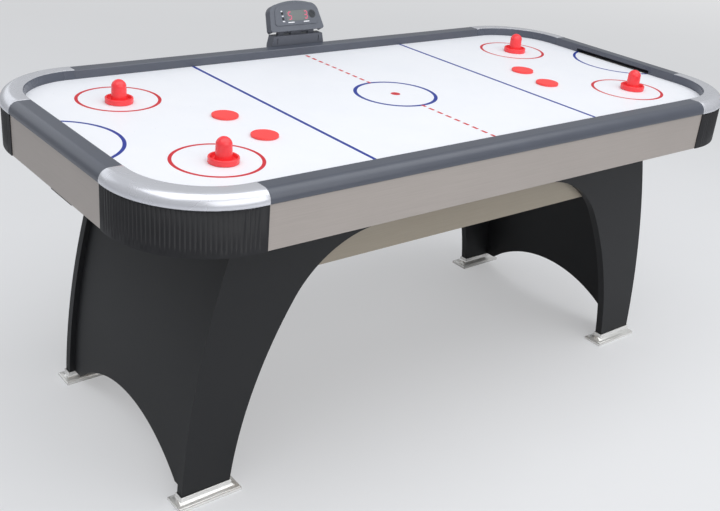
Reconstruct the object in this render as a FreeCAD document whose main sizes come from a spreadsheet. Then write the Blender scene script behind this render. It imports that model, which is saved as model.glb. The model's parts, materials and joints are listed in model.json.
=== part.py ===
import FreeCAD, Part
import math
import os
import re
import Sketcher

# Air hockey table. Millimetres, +X along the table, +Y to the scorer's side, +Z up, floor at Z = 0.
# Every length below is the sheet's; expressions written in this file name the sheet's cells.

SIZES = [
    # playfield and rails
    ("field_height", 770, "playing surface above the floor"),
    ("field_half_length", 862, "inner wall of the end rails from the middle"),
    ("field_half_width", 404, "inner wall of the long rails from the middle"),
    ("field_corner", 165, "radius of the inner wall at a corner"),
    ("field_board", 12, "thickness of the playfield board"),
    ("field_lap", 11.5, "playfield board running in under the rails"),
    ("hole_radius", 0.8, "air hole"),
    ("hole_columns", 35, "air holes along the table"),
    ("hole_rows", 15, "air holes across the table"),
    ("hole_border", 38, "least distance from the inner wall to an air hole"),
    ("rail_width", 52.4, "rail from its inner wall to its outside"),
    ("rail_rise", 22.5, "rail top above the playing surface"),
    ("rail_round", 23.5, "radius of the rail's outer shoulder"),
    ("rail_nose", 2, "bevel along the rail's inner top edge"),
    ("rail_drop", 6.2, "rail's outer underside below the playing surface"),
    ("rail_bevel", 2.2, "bevel along the rail's outer bottom edge"),
    ("rail_rebate", 12, "rail's rebate over the playfield board"),
    ("cap_stub", 14.5, "straight run at each end of a corner cap"),
    ("cap_proud", 0.8, "corner cap standing out from the rails"),
    # aprons and corner panels
    ("apron_height", 95.2, "height of an apron board"),
    ("apron_thick", 15, "thickness of an apron board"),
    ("apron_inset", 3, "apron face behind the rail's outside"),
    ("panel_proud", 2, "corner panel standing out from the aprons"),
    ("groove_radius", 4.2, "radius of a corner panel's flute"),
    ("groove_deep", 0.6, "depth of a flute"),
    ("groove_count", 36, "flutes round a corner"),
    ("groove_band", 19, "plain band below the flutes"),
    # air chamber
    ("chamber_back", 40, "chamber wall behind the end rails' inner wall"),
    ("chamber_corner", 160, "chamber corner radius"),
    ("chamber_wall_thick", 15, "chamber wall thickness"),
    ("chamber_deep", 52, "height of the chamber wall"),
    ("chamber_floor_thick", 6, "chamber floor board"),
    ("joist_inset", 522, "joist centre in from the chamber's end"),
    ("joist_thick", 15, "joist thickness"),
    ("joist_notch_wide", 150, "air passage through a joist"),
    ("joist_notch_high", 30, "height of an air passage"),
    ("joist_notch_step", 210, "air passage spacing"),
    ("batten_high", 40, "batten height"),
    ("batten_short", 182, "batten's end in from the chamber's end"),
    # goals
    ("goal_half", 138, "half width of the goal slot"),
    ("goal_high", 10, "height of the goal slot above the playing surface"),
    ("goal_box_wall", 2.5, "goal box wall"),
    ("goal_box_shoulder", 62, "straight side of the goal box below the board"),
    ("tray_half", 48.5, "half width of the puck tray"),
    ("tray_drop", 18.6, "tray underside below the aprons"),
    ("tray_funnel", 88, "bottom of the funnel below the board"),
    # legs
    ("leg_inset", 135.4, "leg's outer foot edge in from the table's end"),
    ("leg_side_inset", 158.4, "leg panel's middle in from the table's side"),
    ("leg_thick", 22, "leg panel thickness"),
    ("leg_foot_wide", 121, "leg width at the floor end"),
    ("leg_lean", 143, "leg's outer edge leaning in at the top"),
    ("leg_outer_radius", 2120, "curve of the leg's outer edge"),
    ("leg_shank_radius", 1080, "curve of the leg's inner edge, lower part"),
    ("leg_bend_radius", 282.4, "curve of the leg's inner edge, upper part"),
    ("leg_bend_in", 271.4, "where the two curves meet, in from the outer foot edge"),
    ("leg_bend_down", 249.5, "where the two curves meet, below the chamber"),
    ("leg_wing_in", 514, "inner end of the leg's wing, in from the outer foot edge"),
    ("leg_wing_high", 111.7, "height of the wing's inner end"),
    ("stretcher_thick", 15, "stretcher board thickness"),
    ("stretcher_high", 192, "stretcher board height"),
    ("stretcher_gap", 0.5, "stretcher's end short of the end panel"),
    ("arch_inset", 14, "end panel's face behind the leg's outer edge"),
    ("arch_thick", 12, "end panel thickness"),
    ("arch_radius", 380, "radius of the arch under an end panel"),
    ("arch_height", 123, "arch crown above the floor"),
    ("bolt_radius", 4, "leg bolt shank"),
    ("bolt_head", 7, "leg bolt head radius"),
    ("bolt_head_high", 5, "leg bolt head height"),
    ("bolt_grip", 14, "leg bolt's reach into the leg"),
    ("bolt_x", 60, "first bolt from the end of the leg's wing"),
    ("bolt_apart", 230, "second bolt further along the leg"),
    ("bolt_down", 45, "first bolt below the table"),
    ("bolt_fit", 0.1, "clearance round a leg bolt"),
    # feet
    ("foot_high", 27, "foot height"),
    ("foot_lip", 8, "height of the foot's bottom lip"),
    ("foot_step", 3.5, "step above the lip"),
    ("foot_cove_from", 10, "height at which the cove starts"),
    ("foot_cove_to", 21, "height at which the collar starts"),
    ("foot_outer", 11, "foot standing out past the collar at the table's end"),
    ("foot_inner", 19.6, "foot standing out past the collar towards the middle"),
    ("foot_side", 15.5, "foot standing out past the collar at each side"),
    ("foot_collar", 2.4, "collar wall round the leg"),
    ("foot_floor", 6, "floor of the foot's socket"),
    ("foot_fit", 0.2, "clearance between the leg and its socket"),
    ("foot_edge", 0.8, "bevel along the foot's edges"),
    # blower
    ("blower_radius", 85, "blower housing outside radius"),
    ("blower_high", 50, "blower housing height"),
    ("blower_wall", 2.5, "blower housing wall"),
    ("blower_flange", 14, "mounting flange round the housing"),
    ("blower_outlet", 78, "radius of the hole up into the chamber"),
    ("blower_inlet", 74, "radius of the intake"),
    ("guard_thick", 3, "intake guard thickness"),
    ("guard_hub", 26, "guard centre plate radius"),
    ("guard_bar", 5, "width of a guard ring or arm"),
    ("guard_arms", 6, "guard arms"),
    ("guard_inner_half", 23, "half angle of an inner opening, in degrees"),
    ("guard_outer_half", 26, "half angle of an outer opening, in degrees"),
    ("motor_radius", 24, "motor radius"),
    ("motor_high", 24, "motor height"),
    ("motor_floor", 4, "motor below the shaft's bore"),
    ("shaft_radius", 3, "motor shaft radius"),
    ("shaft_fit", 0.05, "clearance round the motor shaft"),
    ("hub_radius", 9, "impeller hub radius"),
    ("hub_high", 7.5, "impeller hub height"),
    ("rotor_radius", 68, "impeller radius"),
    ("rotor_plate", 2.4, "impeller back plate"),
    ("rotor_gap", 8, "impeller back plate below the chamber floor"),
    ("blade_high", 28, "impeller blade height"),
    ("blade_long", 17, "impeller blade, inner to outer edge"),
    ("blade_thick", 1.4, "impeller blade thickness"),
    ("blade_count", 24, "impeller blades"),
    # power panel in the back apron
    ("power_in", 442, "power plate centre in from the end rail's inner wall"),
    ("power_down", 8, "power plate centre below the apron's middle"),
    ("power_half_wide", 38, "power plate half width"),
    ("power_half_high", 18, "power plate half height"),
    ("power_thick", 2, "power plate thickness"),
    ("power_lap", 4, "power plate's edge over the apron's hole"),
    ("power_fit", 0.5, "clearance round the power box"),
    ("power_clear", 0.5, "power box's back in front of the apron's back"),
    ("inlet_half_wide", 12, "inlet recess half width"),
    ("inlet_half_high", 9, "inlet recess half height"),
    ("inlet_x", 16, "inlet centre from the plate's centre"),
    ("inlet_pin", 1.5, "inlet pin radius"),
    ("inlet_pin_short", 4, "inlet pin's tip behind the recess's mouth"),
    ("rocker_half_wide", 8, "rocker half width"),
    ("rocker_half_high", 11, "rocker half height"),
    ("rocker_fit", 0.9, "clearance round the rocker"),
    ("rocker_back", 2, "rocker pivot behind the apron's face"),
    ("rocker_pin", 1.6, "rocker pivot radius"),
    ("rocker_reach", 2, "rocker pivot's reach into the panel at each side"),
    ("rocker_end", 0.3, "gap at each end of the rocker's pivot"),
    ("rocker_proud", 2.2, "rocker's ends standing out of the plate"),
    ("rocker_dip", 0.4, "rocker's middle standing out of the plate"),
    ("rocker_foot", 4.6, "rocker's foot behind the pivot's centre"),
    ("rocker_foot_half", 3.6, "half height of the rocker's foot"),
    # scorer
    ("scorer_front", 33, "scorer bracket's front face out from the rail's inner wall"),
    ("scorer_deep", 27, "scorer bracket depth"),
    ("scorer_half", 89, "scorer bracket half width at the rail"),
    ("scorer_top_half", 82.5, "scorer bracket half width at its top"),
    ("scorer_rise", 26.5, "scorer bracket top above the rail"),
    ("scorer_tail", 46, "scorer bracket reaching down below the playing surface"),
    ("scorer_fit", 0.3, "clearance between bracket and rail"),
    ("panel_line", 2, "width and depth of the bracket's two upright grooves"),
    ("panel_line_x", 70, "upright groove from the middle"),
    ("panel_line_low", 4, "groove's lower end above the rail"),
    ("panel_line_high", 5, "groove's upper end below the bracket's top"),
    ("pin_rise", 8, "hinge pin above the scorer bracket"),
    ("pin_back", 18, "hinge pin behind the bracket's front face"),
    ("pin_radius", 2.5, "hinge pin radius"),
    ("pin_half", 63, "hinge pin half length"),
    ("lug_outer", 61, "outer end of an end knuckle from the middle"),
    ("lug_inner", 42, "inner end of an end knuckle from the middle"),
    ("lug_middle", 18, "half width of the middle knuckle"),
    ("pin_fit", 0.05, "clearance round the hinge pin"),
    ("knuckle_radius", 5.5, "hinge knuckle radius"),
    ("knuckle_gap", 0.4, "gap between neighbouring knuckles"),
    ("head_tilt", 28, "head leaning back, in degrees"),
    ("head_drop", 3.8, "face's lower edge below the pin"),
    ("head_skirt", 10, "face reaching below the head's underside"),
    ("ear_gap", 2, "clearance from the bracket's top to the head's end walls beside it"),
    ("head_half", 90, "head half width at the bottom"),
    ("head_foot_corner", 8, "head bottom corner radius"),
    ("head_shoulder_half", 82, "head half width at the shoulder"),
    ("head_shoulder", 57.8, "shoulder above the head's lower edge"),
    ("head_corner", 28, "head shoulder radius"),
    ("head_crown_half", 57, "half width of the head's crown"),
    ("head_crown", 77.3, "end of the crown above the head's lower edge"),
    ("head_crown_radius", 214, "radius of the crown"),
    ("head_front", 16.6, "head front face before the pin"),
    ("head_deep", 28, "head depth"),
    ("head_wall", 3, "head shell wall"),
    ("head_back_round", 4, "slope round the head's back edge"),
    ("face_thick", 3, "face moulding thickness"),
    ("plate_inset", 7, "raised plate in from the face's edge all round"),
    ("plate_side", 9, "and this much more at the sides"),
    ("plate_low", 9, "and this much more at the bottom"),
    ("plate_rise", 2, "raised plate thickness"),
    ("window_x", 6, "display window centre"),
    ("window_v", 38.5, "display window centre above the pin"),
    ("window_half_wide", 36.5, "display window half width"),
    ("window_half_high", 15, "display window half height"),
    ("window_thick", 2.5, "display window thickness"),
    ("speaker_x", 56.3, "speaker centre"),
    ("speaker_v", 39.6, "speaker centre above the pin"),
    ("speaker_radius", 12, "speaker grille radius"),
    ("slot_wide", 1.7, "speaker slot width"),
    ("slot_pitch", 4, "speaker slot spacing"),
    ("slot_margin", 2, "speaker slot's end in from the grille's edge"),
    ("button_x", -44, "button centre"),
    ("button_v", 46.3, "upper button centre above the pin"),
    ("button_step", 15.6, "lower button below the upper one"),
    ("button_radius", 2.8, "button radius"),
    ("button_fit", 0.35, "clearance round a button"),
    ("button_flange", 1.2, "button flange past its stem"),
    ("button_gap", 0.3, "gap between a button's flange and the face"),
    ("button_out", 2, "button standing out of the plate"),
    ("button_long", 7, "button length"),
    # mallets and pucks
    ("mallet_radius", 32.5, "mallet base radius"),
    ("mallet_rim", 13, "mallet rim height"),
    ("mallet_rim_thick", 4.5, "mallet rim thickness"),
    ("mallet_slope", 1.5, "trough wall leaning in"),
    ("mallet_fillet", 3, "fillet at the foot of the knob"),
    ("mallet_edge", 1, "bevel along the mallet's bottom edge"),
    ("mallet_floor", 5.5, "mallet trough floor"),
    ("mallet_knob", 18, "mallet knob radius at its foot"),
    ("mallet_knob_top", 17, "mallet knob radius below its dome"),
    ("mallet_high", 54, "mallet height"),
    ("mallet_dome", 14, "height of the knob's dome"),
    ("felt_radius", 28.5, "felt recess radius"),
    ("felt_deep", 1.5, "felt recess depth"),
    ("puck_radius", 31, "puck radius"),
    ("puck_thick", 5.4, "puck thickness"),
    ("puck_ring", 27.5, "puck groove radius"),
    ("puck_groove", 0.7, "depth of a puck's groove"),
    ("puck_groove_half", 1, "half width of a puck's groove"),
    ("puck_edge", 0.8, "bevel along a puck's edges"),
    ("glide", 0.3, "air gap under a mallet or puck"),
]
NAMES = {name for name, value, note in SIZES}
WORD = re.compile(r"[a-z][a-z_0-9]*")

doc = FreeCAD.newDocument("AirHockeyTable")
sheet = doc.addObject("Spreadsheet::Sheet", "Sizes")
for row, (name, value, note) in enumerate(SIZES, start=1):
    sheet.set(f"A{row}", note)
    sheet.set(f"B{row}", str(value))
    sheet.setAlias(f"B{row}", name)
doc.recompute()
EXPORT = []

# Places that several pieces share
OUT = "(rail_width - apron_inset)"                       # apron face, out from the inner wall
IN = "(rail_width - apron_inset - apron_thick)"          # apron back, out from the inner wall
RAIL_TOP = "(field_height + rail_rise)"
RAIL_FOOT = "(field_height - rail_drop)"
APRON_FOOT = "(field_height - rail_drop - apron_height)"
BOARD_FOOT = "(field_height - field_board)"
FLOOR_TOP = "(field_height - field_board - chamber_deep)"
FLOOR_FOOT = "(field_height - field_board - chamber_deep - chamber_floor_thick)"
STRAIGHT_X = "(field_half_length - field_corner - cap_stub)"
STRAIGHT_Y = "(field_half_width - field_corner - cap_stub)"
LEG_X = "(field_half_length + rail_width - leg_inset)"
LEG_Y = "(field_half_width + rail_width - leg_side_inset)"
LEG_IN_Y = "(field_half_width + rail_width - leg_side_inset - leg_thick / 2)"
CHAMBER_X = "(field_half_length - chamber_back)"
PIN_Y = "(field_half_width + scorer_front + pin_back)"
PIN_Z = "(field_height + rail_rise + scorer_rise + pin_rise)"
# the scorer head leans out behind the back rail, so the table's middle lies in front of the origin
HEAD_TOP = ("(head_crown - head_drop + head_crown_radius"
            " - sqrt(head_crown_radius ^ 2 - head_crown_half ^ 2))")
HEAD_REACH = (f"((head_deep - head_front) * cos(head_tilt)"
              f" + ({HEAD_TOP} - head_back_round) * sin(head_tilt))")
SHIFT = f"(-({PIN_Y} + {HEAD_REACH} - field_half_width - rail_width - cap_proud) / 2)"
STRETCHER_HALF = f"({LEG_X} - leg_lean - arch_inset - arch_thick - stretcher_gap)"
POWER_DEEP = "(apron_thick - power_clear)"
POWER_X = "(power_in - field_half_length)"
POWER_Z = f"({APRON_FOOT} + apron_height / 2 - power_down)"
SADDLE_X = "(rail_width - rail_round)"
SADDLE_Z = f"({RAIL_TOP} - rail_round)"
BLOWER_FOOT = f"({FLOOR_FOOT} - blower_high)"
WING_FOOT = f"({FLOOR_FOOT} - leg_wing_high)"
BEND_Z = f"({FLOOR_FOOT} - leg_bend_down)"


def ex(text):
    """The text as an expression that reads the sheet."""
    return WORD.sub(lambda m: "Sizes." + m.group() if m.group() in NAMES else m.group(), str(text))


def num(text):
    """The present value of an expression."""
    value = sheet.evalExpression(ex(text))
    return float(getattr(value, "Value", value))


def bind(item, prop, text):
    item.setExpression(prop, ex(text))


def place(item, x="0", y="0", z="0", turn=0):
    """Put a piece at x, y, z from the table's middle on the floor, turned about the vertical."""
    item.Placement = FreeCAD.Placement(FreeCAD.Vector(), FreeCAD.Rotation(FreeCAD.Vector(0, 0, 1), turn))
    bind(item, "Placement.Base.x", x)
    bind(item, "Placement.Base.y", f"{y} + {SHIFT}")
    bind(item, "Placement.Base.z", z)


def keep(item, label):
    """Name a finished piece and list it for export."""
    item.Label = label
    EXPORT.append(item)
    return item


def new_body(label):
    return keep(doc.addObject("PartDesign::Body", label), label)


def plane(body, role):
    return [item for item in body.Origin.OriginFeatures if item.Role == role][0]


def new_sketch(body, role, offset="0"):
    sketch = body.newObject("Sketcher::SketchObject", "Sketch")
    sketch.AttachmentSupport = [(plane(body, role), "")]
    sketch.MapMode = "FlatFace"
    bind(sketch, "AttachmentOffset.Base.z", offset)
    return sketch


def outline(sketch, steps):
    """Closed outline through steps of (x, y) or (x, y, radius, way); the radius bends the edge that leaves."""
    points = [FreeCAD.Vector(num(step[0]), num(step[1]), 0) for step in steps]
    ends = []
    for i, step in enumerate(steps):
        a = points[i]
        b = points[(i + 1) % len(points)]
        if len(step) == 2:
            index = sketch.addGeometry(Part.LineSegment(a, b), False)
            ends.append((index, 1, 2))
            continue
        radius = num(step[2])
        half = (b - a) * 0.5
        side = FreeCAD.Vector(-half.y, half.x, 0).normalize()
        rise = math.sqrt(max(radius * radius - half.Length * half.Length, 0))
        centre = a + half + side * (rise if step[3] == "ccw" else -rise)
        first, last = (a, b) if step[3] == "ccw" else (b, a)
        start = math.atan2(first.y - centre.y, first.x - centre.x)
        stop = math.atan2(last.y - centre.y, last.x - centre.x)
        stop = stop if stop > start else stop + 2 * math.pi
        circle = Part.Circle(centre, FreeCAD.Vector(0, 0, 1), radius)
        index = sketch.addGeometry(Part.ArcOfCircle(circle, start, stop), False)
        ends.append((index, 1, 2) if step[3] == "ccw" else (index, 2, 1))
    for i, (index, first, last) in enumerate(ends):
        after = ends[(i + 1) % len(ends)]
        sketch.addConstraint(Sketcher.Constraint("Coincident", index, last, after[0], after[1]))
    for i, (index, first, last) in enumerate(ends):
        for kind, text, value in (("DistanceX", steps[i][0], points[i].x),
                                  ("DistanceY", steps[i][1], points[i].y)):
            at = sketch.addConstraint(Sketcher.Constraint(kind, -1, 1, index, first, value))
            bind(sketch, f"Constraints[{at}]", text)
        if len(steps[i]) > 2:
            at = sketch.addConstraint(Sketcher.Constraint("Radius", index, num(steps[i][2])))
            bind(sketch, f"Constraints[{at}]", steps[i][2])
    return sketch


def disc(sketch, x, y, radius):
    """A circle in a sketch."""
    centre = FreeCAD.Vector(num(x), num(y), 0)
    index = sketch.addGeometry(Part.Circle(centre, FreeCAD.Vector(0, 0, 1), num(radius)), False)
    for kind, text, value in (("DistanceX", x, centre.x), ("DistanceY", y, centre.y)):
        at = sketch.addConstraint(Sketcher.Constraint(kind, -1, 1, index, 3, value))
        bind(sketch, f"Constraints[{at}]", text)
    at = sketch.addConstraint(Sketcher.Constraint("Radius", index, num(radius)))
    bind(sketch, f"Constraints[{at}]", radius)
    return sketch


def box_steps(x0, x1, y0, y1):
    return [(x0, y0), (x1, y0), (x1, y1), (x0, y1)]


def add(body, sketch, length, both=False, back=False, kind="PartDesign::Pad"):
    """Pad or pocket a sketch; a pocket has to take something away."""
    feature = body.newObject(kind, kind.split("::")[1])
    feature.Profile = sketch
    bind(feature, "Length", length)
    feature.Midplane = both
    feature.Reversed = back
    before = body.Shape.Volume if kind.endswith("Pocket") else 0
    doc.recompute()
    if not feature.isValid():
        raise ValueError(f"{body.Label}: {feature.Name} failed")
    if kind.endswith("Pocket") and body.Shape.Volume > before - 0.01:
        raise ValueError(f"{body.Label}: a pocket cuts nothing")
    return feature


def cut(body, sketch, length, both=False, back=False):
    return add(body, sketch, length, both, back, "PartDesign::Pocket")


def taper(body, near, far):
    """Straight taper from one sketch to another of as many edges."""
    feature = body.newObject("PartDesign::AdditiveLoft", "Taper")
    feature.Profile = near
    feature.Sections = [far]
    feature.Ruled = True
    doc.recompute()
    return feature


def spin(body, sketch, angle=360, back=False):
    """Revolve a sketch about its own upright axis."""
    feature = body.newObject("PartDesign::Revolution", "Revolution")
    feature.Profile = sketch
    feature.ReferenceAxis = (sketch, ["V_Axis"])
    feature.Angle = angle
    feature.Reversed = back
    doc.recompute()
    return feature


def ring_of(body, feature, angle, count):
    """Repeat a feature about the body's upright axis."""
    pattern = body.newObject("PartDesign::PolarPattern", "PolarPattern")
    pattern.Originals = [feature]
    pattern.Axis = (plane(body, "Z_Axis"), [""])
    bind(pattern, "Angle", angle)
    bind(pattern, "Occurrences", count)
    body.Tip = pattern
    doc.recompute()
    return pattern


SIDES = {
    "back": ("0", "field_half_width", 0),
    "front": ("0", "-field_half_width", 180),
    "right": ("field_half_length", "0", 270),
    "left": ("-field_half_length", "0", 90),
}
CORNERS = {
    "back_right": (1, 1, 0),
    "back_left": (-1, 1, 90),
    "front_left": (-1, -1, 180),
    "front_right": (1, -1, 270),
}


def rail_section(radius="0", proud="0"):
    """Section of a rail, outwards from its inner wall, the wall standing at the radius."""
    r = f"{radius} + "
    return [
        (f"{r}0", "field_height"),
        (f"{r}rail_rebate", "field_height"),
        (f"{r}rail_rebate", RAIL_FOOT),
        (f"{r}rail_width + {proud} - rail_bevel", RAIL_FOOT),
        (f"{r}rail_width + {proud}", f"{RAIL_FOOT} + rail_bevel"),
        (f"{r}rail_width + {proud}", f"{RAIL_TOP} - rail_round", f"rail_round + {proud}", "ccw"),
        (f"{r}rail_width - rail_round", f"{RAIL_TOP} + {proud}"),
        (f"{r}rail_nose", f"{RAIL_TOP} + {proud}"),
        (f"{r}0", f"{RAIL_TOP} + {proud} - rail_nose"),
    ]


def make_rail(side):
    """Straight rail between two corner caps; an end rail has the goal slot through its foot."""
    body = new_body(f"rail_{side}")
    half = STRAIGHT_X if side in ("front", "back") else STRAIGHT_Y
    add(body, outline(new_sketch(body, "YZ_Plane"), rail_section()), f"2 * {half}", both=True)
    if side in ("left", "right"):
        slot = outline(new_sketch(body, "YZ_Plane"),
                       box_steps("-1", IN, f"{RAIL_FOOT} - 1", "field_height + goal_high"))
        cut(body, slot, "2 * goal_half", both=True)
    x, y, turn = SIDES[side]
    place(body, x, y, "0", turn)


def corner_place(body, corner):
    sx, sy, turn = CORNERS[corner]
    place(body, f"{sx} * (field_half_length - field_corner)",
          f"{sy} * (field_half_width - field_corner)", "0", turn)


def sweep_corner(body, steps):
    """A quarter turn of a section with a straight stub at both ends."""
    spin(body, outline(new_sketch(body, "XZ_Plane"), steps), 90)
    add(body, outline(new_sketch(body, "XZ_Plane"), steps), "cap_stub")
    add(body, outline(new_sketch(body, "YZ_Plane"), steps), "cap_stub", back=True)


def make_cap(corner):
    """Metal cap that joins two rails round a corner."""
    body = new_body(f"corner_cap_{corner}")
    sweep_corner(body, rail_section("field_corner", "cap_proud"))
    corner_place(body, corner)


def make_corner_panel(corner):
    """Curved dark panel below a cap, fluted down to a plain band."""
    body = new_body(f"corner_panel_{corner}")
    face = f"field_corner + {OUT} + panel_proud"
    sweep_corner(body, box_steps(f"field_corner + {IN}", face, APRON_FOOT, RAIL_FOOT))
    middle = f"({face} + groove_radius - groove_deep)"
    flute = disc(new_sketch(body, "XY_Plane", f"{APRON_FOOT} + groove_band"),
                 f"{middle} * cos(45 / groove_count)", f"{middle} * sin(45 / groove_count)", "groove_radius")
    flute_cut = cut(body, flute, "apron_height", back=True)
    ring_of(body, flute_cut, "90 * (groove_count - 1) / groove_count", "groove_count")
    corner_place(body, corner)


def make_apron(side):
    """Apron board under a straight rail; the back one has the power panel's hole."""
    body = new_body(f"apron_{side}")
    half = STRAIGHT_X if side in ("front", "back") else STRAIGHT_Y
    board = outline(new_sketch(body, "YZ_Plane"), box_steps(IN, OUT, APRON_FOOT, RAIL_FOOT))
    add(body, board, f"2 * {half}", both=True)
    if side == "back":
        half_x = "(power_half_wide - power_lap)"
        half_z = "(power_half_high - power_lap)"
        hole = box_steps(f"{POWER_X} - {half_x}", f"{POWER_X} + {half_x}",
                         f"{POWER_Z} - {half_z}", f"{POWER_Z} + {half_z}")
        cut(body, outline(new_sketch(body, "XZ_Plane"), hole), "4 * rail_width", both=True)
    x, y, turn = SIDES[side]
    place(body, x, y, "0", turn)


for side_name in SIDES:
    make_rail(side_name)
for corner_name in CORNERS:
    make_cap(corner_name)
for side_name in SIDES:
    make_apron(side_name)
for corner_name in CORNERS:
    make_corner_panel(corner_name)


def rounded(half_x, half_y, radius):
    """Corners of a rounded rectangle about the middle, for an outline."""
    x, y, r = half_x, half_y, radius
    return [
        (f"-({x}) + {r}", f"-({y})"), (f"({x}) - {r}", f"-({y})", r, "ccw"),
        (f"({x})", f"-({y}) + {r}"), (f"({x})", f"({y}) - {r}", r, "ccw"),
        (f"({x}) - {r}", f"({y})"), (f"-({x}) + {r}", f"({y})", r, "ccw"),
        (f"-({x})", f"({y}) - {r}"), (f"-({x})", f"-({y}) + {r}", r, "ccw"),
    ]


def make_playfield():
    """Playfield board. Its several hundred air holes are cut as inner wires of one face, padded once."""
    half_x = num("field_half_length + field_lap")
    half_y = num("field_half_width + field_lap")
    corner = num("field_corner + field_lap")
    thick = num("field_board")
    low = num(BOARD_FOOT)
    up = FreeCAD.Vector(0, 0, thick)
    board = Part.makeBox(2 * half_x, 2 * half_y, thick, FreeCAD.Vector(-half_x, -half_y, low))
    uprights = [e for e in board.Edges if abs(e.Vertexes[0].Z - e.Vertexes[1].Z) > thick / 2]
    board = board.makeFillet(corner, uprights)
    top = [f for f in board.Faces if f.normalAt(0, 0).z < -0.9][0]
    last_x = round(num("hole_columns") - 1) // 2
    last_y = round(num("hole_rows") - 1) // 2
    step_x = num("field_half_length - hole_border") / last_x
    step_y = num("field_half_width - hole_border") / last_y
    wires = [top.OuterWire]
    for i in range(-last_x, last_x + 1):
        for j in range(-last_y, last_y + 1):
            if last_x - abs(i) + last_y - abs(j) < 2:
                continue  # the rounded corner has no room for these
            centre = FreeCAD.Vector(i * step_x, j * step_y, low)
            ring = Part.Circle(centre, FreeCAD.Vector(0, 0, 1), num("hole_radius"))
            wires.append(Part.Wire(ring.toShape()))
    solid = Part.Face(wires, "Part::FaceMakerBullseye").extrude(up)
    half = num("goal_half")
    lap = num("field_lap")
    for sign in (-1, 1):
        notch = Part.makeBox(lap + 1, 2 * half, thick + 2)
        notch.translate(FreeCAD.Vector(sign * (half_x - lap / 2 + 0.5) - (lap + 1) / 2, -half, low - 1))
        solid = solid.cut(notch)
    item = doc.addObject("Part::Feature", "playfield")
    item.Shape = solid.Solids[0]
    place(keep(item, "playfield"))


make_playfield()

# Air chamber under the field
body = new_body("chamber_wall")
outer = (CHAMBER_X, "field_half_width", "chamber_corner")
inner = (f"{CHAMBER_X} - chamber_wall_thick", "field_half_width - chamber_wall_thick",
         "(chamber_corner - chamber_wall_thick)")
add(body, outline(new_sketch(body, "XY_Plane", FLOOR_TOP), rounded(*outer)), "chamber_deep")
cut(body, outline(new_sketch(body, "XY_Plane", FLOOR_TOP), rounded(*inner)), "chamber_deep", back=True)
place(body)

body = new_body("chamber_floor")
add(body, outline(new_sketch(body, "XY_Plane", FLOOR_FOOT), rounded(*outer)), "chamber_floor_thick")
outlet = disc(new_sketch(body, "XY_Plane", FLOOR_FOOT), "0", "0", "blower_outlet")
cut(body, outlet, "chamber_floor_thick", back=True)
place(body)

for side_name, sign in (("left", -1), ("right", 1)):
    body = new_body(f"joist_{side_name}")
    half = "(field_half_width - chamber_wall_thick)"
    add(body, outline(new_sketch(body, "YZ_Plane"), box_steps(f"-{half}", half, FLOOR_TOP, BOARD_FOOT)),
        "joist_thick", both=True)
    for middle in ("-joist_notch_step", "0", "joist_notch_step"):
        steps = box_steps(f"{middle} - joist_notch_wide / 2", f"{middle} + joist_notch_wide / 2",
                          f"{FLOOR_TOP} - 1", f"{FLOOR_TOP} + joist_notch_high")
        cut(body, outline(new_sketch(body, "YZ_Plane"), steps), "2 * joist_thick", both=True)
    place(body, f"{sign} * ({CHAMBER_X} - joist_inset)")

for side_name in ("back", "front"):
    body = new_body(f"batten_{side_name}")
    steps = box_steps("0", IN, f"{BOARD_FOOT} - batten_high", BOARD_FOOT)
    add(body, outline(new_sketch(body, "YZ_Plane"), steps), f"2 * ({CHAMBER_X} - batten_short)", both=True)
    x, y, turn = SIDES[side_name]
    place(body, x, y, "0", turn)


def make_goal_box(side):
    """Box that catches a puck behind the goal slot and leads it down to a tray with an open end."""
    body = new_body(f"goal_box_{side}")
    deep = f"(chamber_back + {IN})"
    w = "goal_box_wall"
    mouth = f"({APRON_FOOT} - tray_drop)"
    hull = [
        (f"-goal_half - {w}", BOARD_FOOT), (f"-goal_half - {w}", f"{BOARD_FOOT} - goal_box_shoulder"),
        (f"-tray_half - {w}", f"{BOARD_FOOT} - tray_funnel"), (f"-tray_half - {w}", mouth),
        (f"tray_half + {w}", mouth), (f"tray_half + {w}", f"{BOARD_FOOT} - tray_funnel"),
        (f"goal_half + {w}", f"{BOARD_FOOT} - goal_box_shoulder"), (f"goal_half + {w}", BOARD_FOOT),
    ]
    hollow = [
        ("-goal_half", f"{BOARD_FOOT} + 1"), ("-goal_half", f"{BOARD_FOOT} - goal_box_shoulder + {w}"),
        ("-tray_half", f"{BOARD_FOOT} - tray_funnel + {w}"), ("-tray_half", f"{mouth} + {w}"),
        ("tray_half", f"{mouth} + {w}"), ("tray_half", f"{BOARD_FOOT} - tray_funnel + {w}"),
        ("goal_half", f"{BOARD_FOOT} - goal_box_shoulder + {w}"), ("goal_half", f"{BOARD_FOOT} + 1"),
    ]
    add(body, outline(new_sketch(body, "XZ_Plane", "chamber_back"), hull), deep, back=True)
    cut(body, outline(new_sketch(body, "XZ_Plane", f"chamber_back - {w}"), hollow), deep)
    x, y, turn = SIDES[side]
    place(body, x, y, "0", turn)


for side_name in ("left", "right"):
    make_goal_box(side_name)


# Legs, end panels, stretchers and feet
BOLTS = [
    (f"({LEG_X} - leg_wing_in + bolt_x)", f"({FLOOR_FOOT} - bolt_down)"),
    (f"({LEG_X} - leg_wing_in + bolt_x + bolt_apart)", f"({FLOOR_FOOT} - bolt_down - bolt_apart / 3)"),
]


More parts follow.
